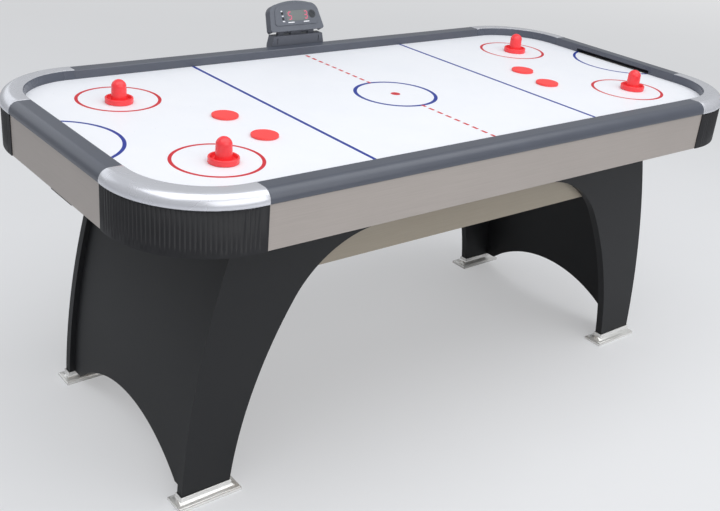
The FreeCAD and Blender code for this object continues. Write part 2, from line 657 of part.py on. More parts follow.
def make_leg(corner):
    """Leg panel: a wing under the table that sweeps down to the foot."""
    body = new_body(f"leg_{corner}")
    sx, sy, turn = CORNERS[corner]
    steps = [
        (f"{LEG_X} - leg_wing_in", FLOOR_FOOT),
        (f"{LEG_X} - leg_wing_in", WING_FOOT, "leg_bend_radius", "cw"),
        (f"{LEG_X} - leg_bend_in", BEND_Z, "leg_shank_radius", "cw"),
        (f"{LEG_X} - leg_foot_wide", "foot_floor"),
        (LEG_X, "foot_floor", "leg_outer_radius", "ccw"),
        (f"{LEG_X} - leg_lean", FLOOR_FOOT),
    ]
    add(body, outline(new_sketch(body, "XZ_Plane"), steps), "leg_thick", both=True)
    side = "leg_thick / 2" if sx * sy > 0 else "-leg_thick / 2"
    for at in BOLTS:
        hole = disc(new_sketch(body, "XZ_Plane", side), at[0], at[1], "bolt_radius + bolt_fit")
        cut(body, hole, "bolt_grip + 1", back=sx * sy < 0)
    place(body, "0", f"{sy} * {LEG_Y}", "0", 0 if sx > 0 else 180)


def shank_lean(rise):
    """How far the leg's inner edge has leaned towards the middle at a rise above its end."""
    across = num("leg_bend_in - leg_foot_wide")
    up = num(f"{BEND_Z} - foot_floor")
    radius = num("leg_shank_radius")
    start = math.atan2(across, up) - math.asin(math.hypot(across, up) / 2 / radius)
    end = math.asin(math.sin(start) + rise / radius)
    return radius * (math.cos(start) - math.cos(end))


def make_foot(corner):
    """Cast foot: lip, step, cove and a collar round the leg. The cove is a ruled loft of rectangles."""
    high = num("foot_high")
    lip = num("foot_lip")
    step = num("foot_step")
    low = num("foot_cove_from")
    top = num("foot_cove_to")
    reach_out = num("foot_outer")
    reach_in = num("foot_inner")
    reach_side = num("foot_side")
    wall = num("foot_collar + foot_fit")
    x1 = num(LEG_X) + wall
    lean = shank_lean(num("foot_high - foot_floor"))
    x0 = num(f"{LEG_X} - leg_foot_wide") - lean - wall
    y1 = num("leg_thick / 2") + wall
    edge = num("foot_edge")
    rows = [(0, edge), (edge, 0), (lip - edge, 0), (lip, edge), (lip, step), (low, step)]
    for i in range(1, 9):
        turn = math.radians(90 * i / 8)
        rows.append((low + (top - low) * (1 - math.cos(turn)), step + (reach_in - step) * math.sin(turn)))
    rows.append((high - edge, reach_in))
    rows.append((high, reach_in + edge))
    wires = []
    for z, inset in rows:
        share = min(inset / reach_in, 1)
        extra = max(inset - reach_in, 0)
        out = reach_out * (1 - share) - extra
        inn = reach_in * (1 - share) - extra
        side = reach_side * (1 - share) - extra
        corners = [(x0 - inn, -y1 - side), (x1 + out, -y1 - side),
                   (x1 + out, y1 + side), (x0 - inn, y1 + side)]
        points = [FreeCAD.Vector(x, y, z) for x, y in corners]
        wires.append(Part.makePolygon(points + points[:1]))
    solid = Part.makeLoft(wires, True, True)
    fit = num("foot_fit")
    width = num("leg_foot_wide") + lean + 2 * fit
    socket = Part.makeBox(width, num("leg_thick") + 2 * fit, high)
    socket.translate(FreeCAD.Vector(num(LEG_X) + fit - width, -num("leg_thick / 2") - fit, num("foot_floor")))
    item = doc.addObject("Part::Feature", f"foot_{corner}")
    item.Shape = solid.cut(socket).Solids[0]
    keep(item, f"foot_{corner}")
    sx, sy, turn = CORNERS[corner]
    place(item, "0", f"{sy} * {LEG_Y}", "0", 0 if sx > 0 else 180)


def make_arch(side):
    """End panel between two legs, curved like their outer edge, with an arch below."""
    body = new_body(f"end_panel_{side}")
    foot = "foot_high + 1"
    steps = [
        (f"{LEG_X} - leg_lean - arch_inset", FLOOR_FOOT),
        (f"{LEG_X} - leg_lean - arch_inset - arch_thick", FLOOR_FOOT, "leg_outer_radius", "cw"),
        (f"{LEG_X} - arch_inset - arch_thick", foot),
        (f"{LEG_X} - arch_inset", foot, "leg_outer_radius", "ccw"),
    ]
    add(body, outline(new_sketch(body, "XZ_Plane"), steps), f"2 * {LEG_IN_Y}", both=True)
    arch = disc(new_sketch(body, "YZ_Plane"), "0", "arch_height - arch_radius", "arch_radius")
    cut(body, arch, "4 * field_half_length", both=True)
    place(body, "0", "0", "0", 0 if side == "right" else 180)


def make_stretcher(side):
    """Long board between the legs, lapped behind the leg panels."""
    body = new_body(f"stretcher_{side}")
    steps = box_steps(f"-{STRETCHER_HALF}", STRETCHER_HALF, f"{FLOOR_FOOT} - stretcher_high", FLOOR_FOOT)
    add(body, outline(new_sketch(body, "XZ_Plane"), steps), "stretcher_thick", both=True)
    for at in BOLTS:
        for sign in (-1, 1):
            hole = disc(new_sketch(body, "XZ_Plane"), f"{sign} * ({at[0]})", at[1], "bolt_radius + bolt_fit")
            cut(body, hole, "2 * stretcher_thick", both=True)
    sign = 1 if side == "back" else -1
    place(body, "0", f"{sign} * ({LEG_IN_Y} - stretcher_thick / 2)")


for corner_name in CORNERS:
    make_leg(corner_name)
for corner_name in CORNERS:
    make_foot(corner_name)
for side_name in ("left", "right"):
    make_arch(side_name)
for side_name in ("front", "back"):
    make_stretcher(side_name)


# Leg bolts, through a stretcher into a leg
def make_bolts():
    """Eight alike bolts: a head inside the stretcher and a shank into the leg."""
    reach = num("stretcher_thick + bolt_grip")
    face = num(f"{LEG_IN_Y} - stretcher_thick")
    bolts = []
    for side in (-1, 1):
        for sign in (-1, 1):
            for at in BOLTS:
                foot = FreeCAD.Vector(sign * num(at[0]), side * face, num(at[1]))
                out = FreeCAD.Vector(0, side, 0)
                head = Part.makeCylinder(num("bolt_head"), num("bolt_head_high"), foot, out * -1)
                bolts.append(head.fuse(Part.makeCylinder(num("bolt_radius"), reach, foot, out)))
    item = doc.addObject("Part::Feature", "leg_bolts")
    item.Shape = Part.makeCompound([bolt.Solids[0] for bolt in bolts])
    place(keep(item, "leg_bolts"))


make_bolts()

# Blower under the chamber floor
body = new_body("blower_housing")
steps = [
    ("blower_inlet", BLOWER_FOOT), ("blower_radius", BLOWER_FOOT),
    ("blower_radius", f"{FLOOR_FOOT} - blower_wall"),
    ("blower_radius + blower_flange", f"{FLOOR_FOOT} - blower_wall"),
    ("blower_radius + blower_flange", FLOOR_FOOT),
    ("blower_radius - blower_wall", FLOOR_FOOT),
    ("blower_radius - blower_wall", f"{BLOWER_FOOT} + blower_wall"),
    ("blower_inlet", f"{BLOWER_FOOT} + blower_wall"),
]
spin(body, outline(new_sketch(body, "XZ_Plane"), steps))
place(body)


def sector(inner, outer, half):
    """Part of a ring about the middle, the half angle to each side of +X."""
    return [
        (f"({inner}) * cos({half})", f"-({inner}) * sin({half})"),
        (f"({outer}) * cos({half})", f"-({outer}) * sin({half})", outer, "ccw"),
        (f"({outer}) * cos({half})", f"({outer}) * sin({half})"),
        (f"({inner}) * cos({half})", f"({inner}) * sin({half})", inner, "cw"),
    ]


body = new_body("blower_guard")
low = f"{BLOWER_FOOT} - guard_thick"
add(body, disc(new_sketch(body, "XY_Plane", low), "0", "0", "blower_radius"), "guard_thick")
middle = "((guard_hub + blower_inlet) / 2)"
gaps = [
    sector("guard_hub", f"({middle} - guard_bar / 2)", "guard_inner_half"),
    sector(f"({middle} + guard_bar / 2)", "(blower_inlet - guard_bar / 2)", "guard_outer_half"),
]
for gap in gaps:
    window = cut(body, outline(new_sketch(body, "XY_Plane", low), gap), "guard_thick", back=True)
    ring_of(body, window, "360 * (guard_arms - 1) / guard_arms", "guard_arms")
place(body)

body = new_body("blower_motor")
add(body, disc(new_sketch(body, "XY_Plane", BLOWER_FOOT), "0", "0", "motor_radius"), "motor_high")
bore = disc(new_sketch(body, "XY_Plane", f"{BLOWER_FOOT} + motor_high"), "0", "0", "shaft_radius + shaft_fit")
cut(body, bore, "motor_high - motor_floor")
place(body)

body = new_body("blower_impeller")
plate_z = f"({FLOOR_FOOT} - rotor_gap - rotor_plate)"
shaft_end = f"{BLOWER_FOOT} + motor_floor + 1"
steps = [
    ("0", shaft_end), ("shaft_radius", shaft_end), ("shaft_radius", f"{plate_z} - hub_high"),
    ("hub_radius", f"{plate_z} - hub_high"), ("hub_radius", plate_z), ("rotor_radius", plate_z),
    ("rotor_radius", f"{plate_z} + rotor_plate"), ("0", f"{plate_z} + rotor_plate"),
]
spin(body, outline(new_sketch(body, "XZ_Plane"), steps))
blade = box_steps("rotor_radius - blade_long", "rotor_radius - 1", "-blade_thick / 2", "blade_thick / 2")
blade_pad = add(body, outline(new_sketch(body, "XY_Plane", f"{plate_z} - blade_high"), blade), "blade_high + 1")
ring_of(body, blade_pad, "360", "blade_count")
place(body)

# Power panel on the back apron
PANEL_Y = f"(field_half_width + {OUT})"
ROCKER_X = "(-power_half_wide / 2)"
body = new_body("power_panel")
steps = box_steps("-power_half_wide", "power_half_wide", "-power_half_high", "power_half_high")
add(body, outline(new_sketch(body, "XZ_Plane"), steps), "power_thick", back=True)
half_x = "(power_half_wide - power_lap - power_fit)"
half_z = "(power_half_high - power_lap - power_fit)"
steps = box_steps(f"-{half_x}", half_x, f"-{half_z}", half_z)
add(body, outline(new_sketch(body, "XZ_Plane"), steps), POWER_DEEP)
steps = box_steps("inlet_x - inlet_half_wide", "inlet_x + inlet_half_wide",
                  "-inlet_half_high", "inlet_half_high")
cut(body, outline(new_sketch(body, "XZ_Plane", "-power_thick"), steps), POWER_DEEP, back=True)
for offset in ("-inlet_half_wide / 2", "inlet_half_wide / 2"):
    floor = new_sketch(body, "XZ_Plane", f"{POWER_DEEP} - power_thick")
    pin = disc(floor, f"inlet_x + {offset}", "0", "inlet_pin")
    add(body, pin, f"{POWER_DEEP} - inlet_pin_short", back=True)
steps = box_steps(f"{ROCKER_X} - rocker_half_wide - rocker_fit", f"{ROCKER_X} + rocker_half_wide + rocker_fit",
                  "-rocker_half_high - rocker_fit", "rocker_half_high + rocker_fit")
cut(body, outline(new_sketch(body, "XZ_Plane", "-power_thick"), steps), POWER_DEEP, back=True)
trunnion = disc(new_sketch(body, "YZ_Plane", ROCKER_X), "-rocker_back", "0", "rocker_pin + shaft_fit")
cut(body, trunnion, "2 * (rocker_half_wide + rocker_fit + rocker_reach)", both=True)
place(body, POWER_X, PANEL_Y, POWER_Z)

body = new_body("power_rocker")
high = "rocker_half_high"
tip = "rocker_back + power_thick + rocker_proud"
steps = [
    (tip, high), ("-rocker_back / 2", high), ("-rocker_foot", "rocker_foot_half"),
    ("-rocker_foot", "-rocker_foot_half"), ("-rocker_back / 2", f"-{high}"),
    (tip, f"-{high}"), ("rocker_back + power_thick + rocker_dip", "0"),
]
add(body, outline(new_sketch(body, "YZ_Plane"), steps), "2 * rocker_half_wide", both=True)
trunnion = disc(new_sketch(body, "YZ_Plane"), "0", "0", "rocker_pin")
add(body, trunnion, "2 * (rocker_half_wide + rocker_fit + rocker_reach - rocker_end)", both=True)
place(body, f"{POWER_X} + {ROCKER_X}", f"{PANEL_Y} - rocker_back", POWER_Z)


def lug(body, middle, half, steps):
    """Hinge knuckle: an upright outline across the pin, from one side of its middle to the other."""
    add(body, outline(new_sketch(body, "YZ_Plane", middle), steps), f"2 * ({half})", both=True)


# Scorer bracket, saddled over the back rail's shoulder and screwed to the apron behind it
body = new_body("scorer_bracket")
top = f"({RAIL_TOP} + scorer_rise)"
far = "(scorer_front + scorer_deep)"
saddle = "(rail_round + scorer_fit)"
steps = [
    ("scorer_front", f"{SADDLE_Z} + sqrt({saddle} ^ 2 - (scorer_front - {SADDLE_X}) ^ 2)", saddle, "cw"),
    ("rail_width + scorer_fit", SADDLE_Z),
    ("rail_width + scorer_fit", f"{RAIL_FOOT} - 1"), (OUT, f"{RAIL_FOOT} - 1"),
    (OUT, "field_height - scorer_tail"), (f"{OUT} + scorer_deep / 3", "field_height - scorer_tail"),
    (far, RAIL_FOOT), (far, top), ("scorer_front", top),
]
add(body, outline(new_sketch(body, "YZ_Plane"), steps), "2 * scorer_half", both=True)
for sign in (-1, 1):
    edge = f"{sign} * (scorer_half + 5)"
    steps = [(f"{sign} * scorer_half", RAIL_TOP), (edge, RAIL_TOP), (edge, f"{top} + 1"),
             (f"{sign} * scorer_top_half", f"{top} + 1")]
    cut(body, outline(new_sketch(body, "XZ_Plane"), steps), f"4 * {far}", both=True)
    steps = [(f"{sign} * scorer_half", RAIL_FOOT), (edge, RAIL_FOOT), (edge, "field_height - scorer_tail - 1"),
             (f"{sign} * scorer_half / 2", "field_height - scorer_tail - 1")]
    cut(body, outline(new_sketch(body, "XZ_Plane"), steps), f"4 * {far}", both=True)
    groove = box_steps(f"{sign} * panel_line_x - panel_line / 2", f"{sign} * panel_line_x + panel_line / 2",
                       f"{RAIL_TOP} + panel_line_low", f"{top} - panel_line_high")
    cut(body, outline(new_sketch(body, "XZ_Plane", "-scorer_front"), groove), "panel_line")
knuckle = "knuckle_radius"
pin_y = "(scorer_front + pin_back)"
pin_z = f"({top} + pin_rise)"
steps = [(f"{pin_y} - {knuckle}", f"{top} - 1"), (f"{pin_y} + {knuckle}", f"{top} - 1"),
         (f"{pin_y} + {knuckle}", pin_z, knuckle, "ccw"), (pin_y, f"{pin_z} + {knuckle}", knuckle, "ccw"),
         (f"{pin_y} - {knuckle}", pin_z)]
for sign in (-1, 1):
    lug(body, f"{sign} * (lug_outer + lug_inner) / 2", "(lug_outer - lug_inner) / 2", steps)
lug(body, "0", "lug_middle", steps)
bore = disc(new_sketch(body, "YZ_Plane"), pin_y, pin_z, "pin_radius + pin_fit / 2")
cut(body, bore, "4 * lug_outer", both=True)
place(body, "0", "field_half_width")

body = new_body("scorer_pin")
add(body, disc(new_sketch(body, "YZ_Plane"), "0", "0", "pin_radius"), "2 * pin_half", both=True)
place(body, "0", PIN_Y, PIN_Z)


def head_outline(inset="0", raised="0", drawn="0"):
    """Outline of the scorer head in its own upright plane, the pin at the middle.

    It is drawn in by the inset all round, its foot raised and its sides drawn in further if told to.
    """
    low = f"({inset} + {raised} - head_drop)"
    slope = "(head_half - head_shoulder_half) / (head_shoulder - head_foot_corner)"
    half = f"(head_half - {inset} - {drawn} - {raised} * {slope})"
    side = f"(head_shoulder_half - {inset} - {drawn})"
    crown = f"(head_crown_half - {inset} / 2 - {drawn})"
    level = f"(head_crown - head_drop - {inset} * 0.9)"
    shoulder = "head_shoulder - head_drop"
    foot = "head_foot_corner"
    bend = f"(head_corner - {inset})"
    arch = f"(head_crown_radius - {inset})"
    return [
        (f"-{half} + {foot}", low), (f"{half} - {foot}", low, foot, "ccw"), (half, f"{low} + {foot}"),
        (side, shoulder, bend, "ccw"), (crown, level, arch, "ccw"),
        (f"-{crown}", level, bend, "ccw"), (f"-{side}", shoulder),
        (f"-{half}", f"{low} + {foot}", foot, "ccw"),
    ]


def head_place(body, x="0", y="0", z="0"):
    """Put a piece of the head at x, y, z in the head's own leaning frame, which starts at the pin."""
    lean = num("head_tilt")
    body.Placement = FreeCAD.Placement(FreeCAD.Vector(), FreeCAD.Rotation(FreeCAD.Vector(1, 0, 0), -lean))
    bind(body, "Placement.Base.x", x)
    bind(body, "Placement.Base.y", f"{PIN_Y} + {SHIFT} + ({y}) * cos(head_tilt) + ({z}) * sin(head_tilt)")
    bind(body, "Placement.Base.z", f"{PIN_Z} - ({y}) * sin(head_tilt) + ({z}) * cos(head_tilt)")


# Scorer head: back shell with the moving knuckles, face, window, speaker grille and buttons
body = new_body("scorer_shell")
join = "(head_front - face_thick)"
straight = "(head_deep - face_thick - head_back_round)"
add(body, outline(new_sketch(body, "XZ_Plane", join), head_outline()), straight, back=True)
back_face = "-(head_deep - head_front)"
taper(body, outline(new_sketch(body, "XZ_Plane", f"{back_face} + head_back_round"), head_outline()),
      outline(new_sketch(body, "XZ_Plane", back_face), head_outline("head_back_round")))
hollow = outline(new_sketch(body, "XZ_Plane", join), head_outline("head_wall", "head_skirt"))
cut(body, hollow, "head_deep - face_thick - head_wall - head_back_round / 2")
# the bracket's top and its knuckles stand in this channel, between the head's end walls
under = "(head_skirt - head_drop)"
steps = box_steps("-scorer_top_half - ear_gap", "scorer_top_half + ear_gap", "-2 * head_drop", under)
cut(body, outline(new_sketch(body, "XZ_Plane", join), steps), "head_deep")
steps = [(knuckle, f"{under} + 1"), (f"-{knuckle}", f"{under} + 1"), (f"-{knuckle}", "0", knuckle, "ccw"),
         ("0", f"-{knuckle}", knuckle, "ccw"), (knuckle, "0")]
for sign in (-1, 1):
    lug(body, f"{sign} * (lug_inner + lug_middle) / 2", "(lug_inner - lug_middle) / 2 - knuckle_gap", steps)
bore = disc(new_sketch(body, "YZ_Plane"), "0", "0", "pin_radius + pin_fit")
cut(body, bore, "4 * lug_outer", both=True)
head_place(body)

body = new_body("scorer_face")
add(body, outline(new_sketch(body, "XZ_Plane", join), head_outline()), "face_thick")
raised = head_outline("plate_inset", "plate_low", "plate_side")
add(body, outline(new_sketch(body, "XZ_Plane", "head_front"), raised), "plate_rise")
front = "head_front + plate_rise"
steps = box_steps("window_x - window_half_wide", "window_x + window_half_wide",
                  "window_v - window_half_high", "window_v + window_half_high")
cut(body, outline(new_sketch(body, "XZ_Plane", front), steps), "window_thick")
recess = disc(new_sketch(body, "XZ_Plane", front), "speaker_x", "speaker_v", "speaker_radius")
cut(body, recess, "window_thick")
for step in ("0", "button_step"):
    hole = disc(new_sketch(body, "XZ_Plane", front), "button_x", f"button_v - {step}",
                "button_radius + button_fit")
    cut(body, hole, "2 * face_thick + plate_rise")
head_place(body)

body = new_body("scorer_window")
steps = box_steps("-window_half_wide", "window_half_wide", "-window_half_high", "window_half_high")
add(body, outline(new_sketch(body, "XZ_Plane"), steps), "window_thick")
head_place(body, "window_x", f"-({front} - window_thick)", "window_v")

body = new_body("scorer_speaker")
add(body, disc(new_sketch(body, "XZ_Plane"), "0", "0", "speaker_radius"), "window_thick")
for k in (-2, -1, 0, 1, 2):
    half = f"(sqrt((speaker_radius - slot_margin) ^ 2 - ({k} * slot_pitch) ^ 2))"
    corners = []
    for u, v in ((f"-{half}", "-slot_wide / 2"), (half, "-slot_wide / 2"), (half, "slot_wide / 2"),
                 (f"-{half}", "slot_wide / 2")):
        across = f"(({v}) + {k} * slot_pitch)"
        corners.append((f"(({u}) + {across}) * cos(45)", f"({across} - ({u})) * sin(45)"))
    cut(body, outline(new_sketch(body, "XZ_Plane", "window_thick"), corners), "window_thick / 2")
head_place(body, "speaker_x", f"-({front} - window_thick)", "speaker_v")

for label, step in (("scorer_button_upper", "0"), ("scorer_button_lower", "button_step")):
    body = new_body(label)
    add(body, disc(new_sketch(body, "XZ_Plane"), "0", "0", "button_radius"), "button_long")
    behind = "button_long - button_out - plate_rise - face_thick - button_gap"
    add(body, disc(new_sketch(body, "XZ_Plane"), "0", "0", "button_radius + button_flange"), behind)
    head_place(body, "button_x", f"-({front} + button_out - button_long)", f"button_v - {step}")

# Mallets and pucks as they stand at rest: which end, how far in from its rail, and y from the middle
MALLETS = [
    ("left_back", -1, 195, 197), ("left_front", -1, 210, -239),
    ("right_back", 1, 207, 210), ("right_front", 1, 188, -226),
]
PUCKS = [
    ("left_back", -1, 365, 12), ("left_front", -1, 373, -140),
    ("right_back", 1, 359, 32), ("right_front", 1, 391, -92),
]

for name, end, inset, y in MALLETS:
    body = new_body(f"mallet_{name}")
    lip = "(mallet_rim_thick / 2)"
    steps = [
        ("0", "felt_deep"), ("felt_radius", "felt_deep"), ("felt_radius", "0"),
        ("mallet_radius - mallet_edge", "0"), ("mallet_radius", "mallet_edge"),
        ("mallet_radius", f"mallet_rim - {lip}", lip, "ccw"),
        (f"mallet_radius - {lip}", "mallet_rim", lip, "ccw"),
        ("mallet_radius - mallet_rim_thick", f"mallet_rim - {lip}"),
        ("mallet_radius - mallet_rim_thick - mallet_slope", "mallet_floor"),
        ("mallet_knob + mallet_fillet", "mallet_floor", "mallet_fillet", "cw"),
        ("mallet_knob", "mallet_floor + mallet_fillet"),
        ("mallet_knob_top", "mallet_high - mallet_dome",
         "(mallet_knob_top ^ 2 + mallet_dome ^ 2) / (2 * mallet_dome)", "ccw"),
        ("0", "mallet_high"),
    ]
    spin(body, outline(new_sketch(body, "XZ_Plane"), steps))
    place(body, f"{end} * (field_half_length - {inset})", str(y), "field_height + glide")

for name, end, inset, y in PUCKS:
    body = new_body(f"puck_{name}")
    steps = [
        ("0", "0"), ("puck_radius - puck_edge", "0"), ("puck_radius", "puck_edge"),
        ("puck_radius", "puck_thick - puck_edge"), ("puck_radius - puck_edge", "puck_thick"),
        ("puck_ring + puck_groove_half", "puck_thick"), ("puck_ring", "puck_thick - puck_groove"),
        ("puck_ring - puck_groove_half", "puck_thick"), ("0", "puck_thick"),
    ]
    spin(body, outline(new_sketch(body, "XZ_Plane"), steps))
    place(body, f"{end} * (field_half_length - {inset})", str(y), "field_height + glide")

doc.recompute()
problems = [item.Name for item in doc.Objects if "Invalid" in item.State or "Error" in item.State]
for item in EXPORT:
    if item.Shape.isNull() or not item.Shape.isValid() or item.Shape.Volume <= 0:
        problems.append(item.Label)
if problems:
    raise ValueError("failed: " + ", ".join(problems))
os.makedirs("parts", exist_ok=True)
for item in EXPORT:
    item.Shape.exportStep(f"parts/{item.Label}.step")
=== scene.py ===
# %% [markdown]
# # An air hockey table
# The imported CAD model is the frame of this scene: every board, leg and moving part already has its size
# and place. This script gives the parts their eased edges and finishes, adds the small pieces that are
# too fine for the CAD, and then sets the floor, the lamps and the camera. All lengths are in metres.

# %% Load the frame
import json
import math

import bmesh
import bpy
from mathutils import Matrix, Vector


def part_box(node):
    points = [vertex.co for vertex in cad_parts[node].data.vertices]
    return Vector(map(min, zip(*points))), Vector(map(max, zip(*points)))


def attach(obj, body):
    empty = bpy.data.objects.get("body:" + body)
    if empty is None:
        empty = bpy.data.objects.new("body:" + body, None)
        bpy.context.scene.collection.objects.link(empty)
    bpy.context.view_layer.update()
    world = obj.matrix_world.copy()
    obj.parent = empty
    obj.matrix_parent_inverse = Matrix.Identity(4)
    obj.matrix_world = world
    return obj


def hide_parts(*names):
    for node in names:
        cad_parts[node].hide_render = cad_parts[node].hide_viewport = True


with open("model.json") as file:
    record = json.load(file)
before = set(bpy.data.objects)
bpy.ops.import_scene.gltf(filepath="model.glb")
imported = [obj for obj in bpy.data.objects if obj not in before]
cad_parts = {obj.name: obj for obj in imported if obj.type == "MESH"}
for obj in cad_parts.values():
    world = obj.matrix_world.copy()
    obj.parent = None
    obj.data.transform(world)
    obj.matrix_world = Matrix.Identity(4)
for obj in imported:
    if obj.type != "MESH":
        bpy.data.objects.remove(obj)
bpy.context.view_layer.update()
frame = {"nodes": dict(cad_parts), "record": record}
nodes = frame["nodes"]
bodies = frame["record"]["behaviour"]["bodies"]
body_of = {node: body for body, members in bodies.items() for node in members}
slot_of = {part["node"]: part["material_slot"] for part in frame["record"]["subparts"]}

# %% [markdown]
# ## The table's middle and its playing surface
# The scorer leans out behind the back rail, so the middle of the model's box isn't the middle of the
# table. The playfield board is symmetrical, so its own box gives the middle and the playing height.

# %% Measure the playfield
field_low, field_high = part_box("playfield")
middle = (field_low + field_high) / 2
field_top = field_high.z
print("playing surface", round(field_top, 4), "m up, table's middle at y =", round(middle.y, 4))

# %% [markdown]
# ## Arithmetic on sockets
# A pattern such as a painted ring is a sum in x and y. Written with Math nodes it is long and hard to
# read, so a small class wraps a socket and lets Python's own operators add the nodes. Each operator has
# its reflected form too, so that 1 - mask works as well as mask - 1. A second class holds a node tree
# and the one method that adds any other node to it, and a third holds one finish: its material and its
# Principled shader.

# %% Wrap a socket
class Wire:
    """A socket that takes part in sums: each operator adds one Math node."""

    def __init__(self, wiring, socket):
        self.wiring = wiring
        self.socket = socket

    def maths(self, operation, *terms, clamp=False):
        settings = {"operation": operation, "use_clamp": clamp}
        return self.wiring.wire(self.wiring.node("ShaderNodeMath", settings, dict(enumerate(terms))))

    def __add__(self, other):
        return self.maths("ADD", self, other)

    def __radd__(self, other):
        return self.maths("ADD", other, self)

    def __sub__(self, other):
        return self.maths("SUBTRACT", self, other)

    def __rsub__(self, other):
        return self.maths("SUBTRACT", other, self)

    def __mul__(self, other):
        return self.maths("MULTIPLY", self, other)

    def __rmul__(self, other):
        return self.maths("MULTIPLY", other, self)

    def __truediv__(self, other):
        return self.maths("DIVIDE", self, other)

    def __rtruediv__(self, other):
        return self.maths("DIVIDE", other, self)

    def __pow__(self, other):
        return self.maths("POWER", self, other)

    def __rpow__(self, other):
        return self.maths("POWER", other, self)

    def __abs__(self):
        return self.maths("ABSOLUTE", self)

    def clipped(self):
        return self.maths("ADD", self, 0.0, clamp=True)

    def either(self, other):
        return self.maths("MAXIMUM", self, other)

    def wrapped(self):
        return self.maths("FRACT", self)


# %% Hold a node tree
class Wiring:
    """An emptied node tree, and the method that adds a node to it."""

    def __init__(self, tree):
        self.tree = tree
        self.tree.nodes.clear()

    def node(self, kind, settings=None, sockets=None):
        """Any node: its settings are set first, then the values or links of its sockets."""
        made = self.tree.nodes.new(kind)
        for name, value in (settings or {}).items():
            setattr(made, name, value)
        for name, value in (sockets or {}).items():
            self.feed(made.inputs[name], value)
        return made

    def feed(self, socket, value):
        if isinstance(value, Wire):
            self.tree.links.new(value.socket, socket)
        else:
            socket.default_value = value

    def wire(self, node, output=0):
        return Wire(self, node.outputs[output])


# %% Hold one finish
class Finish(Wiring):
    """A material with one Principled shader, whose plain numbers are given when it is made."""

    def __init__(self, name, **fixed):
        self.material = bpy.data.materials.new(name)
        self.material.use_nodes = True
        super().__init__(self.material.node_tree)
        self.shader = self.node("ShaderNodeBsdfPrincipled")
        self.outlet = self.node("ShaderNodeOutputMaterial", {}, {"Surface": self.wire(self.shader)})
        self.place = self.wire(self.node("ShaderNodeTexCoord"), "Object")
        split = self.node("ShaderNodeSeparateXYZ", {}, {"Vector": self.place})
        self.x, self.y, self.z = (self.wire(split, axis) for axis in "XYZ")
        self.wear(**fixed)

    def wear(self, **sockets):
        """Set the shader's sockets: base_color feeds Base Color, and so on."""
        for word, value in sockets.items():
            name = {"ior": "IOR"}.get(word, word.replace("_", " ").title())
            self.feed(self.shader.inputs[name], value)


# %% [markdown]
# ## Patterns that many finishes share
# Real surfaces are never quite even. Scanned pictures could give them their grain, but noise read from
# the object's own coordinates needs no file and never repeats, and stretching those coordinates along a
# board turns grain into a brushed or printed streak. The strengths are small: a finish should be noticed
# only close up.

# %% Shared patterns
LINE_SOFT = 0.0004


def paint(red, green, blue):
    """A colour as a paint chart gives it, 0 to 255, made linear for the shader."""
    def linear(value):
        share = value / 255
        return share / 12.92 if share <= 0.04045 else ((share + 0.055) / 1.055) ** 2.4
    return linear(red), linear(green), linear(blue), 1.0


def grain(finish, scale, detail=2.0, stretch=(1, 1, 1), rough=0.5):
    """Noise from 0 to 1 with so many features to the metre along each axis."""
    place = finish.wire(finish.node("ShaderNodeMapping", {}, {"Vector": finish.place, "Scale": stretch}))
    sockets = {"Vector": place, "Scale": scale, "Detail": detail, "Roughness": rough}
    return finish.wire(finish.node("ShaderNodeTexNoise", {}, sockets))


def cells(finish, scale, feature="F1"):
    """Distance within small cells, as in a spangle or a leather grain."""
    sockets = {"Vector": finish.place, "Scale": scale}
    return finish.wire(finish.node("ShaderNodeTexVoronoi", {"feature": feature}, sockets), "Distance")


def blend(finish, share, first, second):
    """The first colour where the share is 0, the second where it is 1."""
    sockets = {0: share, 6: first, 7: second}
    return finish.wire(finish.node("ShaderNodeMix", {"data_type": "RGBA"}, sockets), 2)


def relief(finish, height, depth):
    """Bump of a depth in metres, joined to the shader's Normal."""
    sockets = {"Height": height, "Distance": depth, "Strength": 1.0}
    finish.wear(normal=finish.wire(finish.node("ShaderNodeBump", {}, sockets)))


def within(distance, half, edge=LINE_SOFT):
    """1 nearer than half to a line, 0 beyond, over a soft edge."""
    return ((half - abs(distance)) / edge + 0.5).clipped()


def pick(noise, level, soft):
    """1 where noise is above a level, 0 below, over a soft step."""
    return ((noise - level) / soft + 0.5).clipped()


# %% [markdown]
# ## The playing surface
# The field is a white laminate with lines printed in blue and red under a thin clear gloss. The lines
# could be thin pieces of their own, but a puck has to glide over them, so they belong in the finish.
# Each is a distance: to a circle, or to a straight line. The marks are the same at both ends and on
# both sides, so the sizes of x and y, measured from the middle, draw all four corners at once.

# %% Sizes of the printed lines
RING_RADIUS = 0.1035
RING_LINE = 0.0048
DOT_RADIUS = 0.0125
FACE_OFF_X = 0.657
FACE_OFF_Y = 0.2225
FACE_OFF_RADIUS = 0.0948
FACE_OFF_LINE = 0.0040
ZONE_X = 0.356
ZONE_LINE = 0.0047
CREASE_X = 0.908
CREASE_RADIUS = 0.1415
CREASE_LINE = 0.0042
DASH_PITCH = 0.03085
DASH_SHARE = 0.308
DASH_SOFT = 0.02
DASH_LINE = 0.0040

BLUE_INK = paint(10, 46, 148)
RED_INK = paint(206, 26, 42)
print("four face-off rings, two creases, two zone lines, one dashed line")


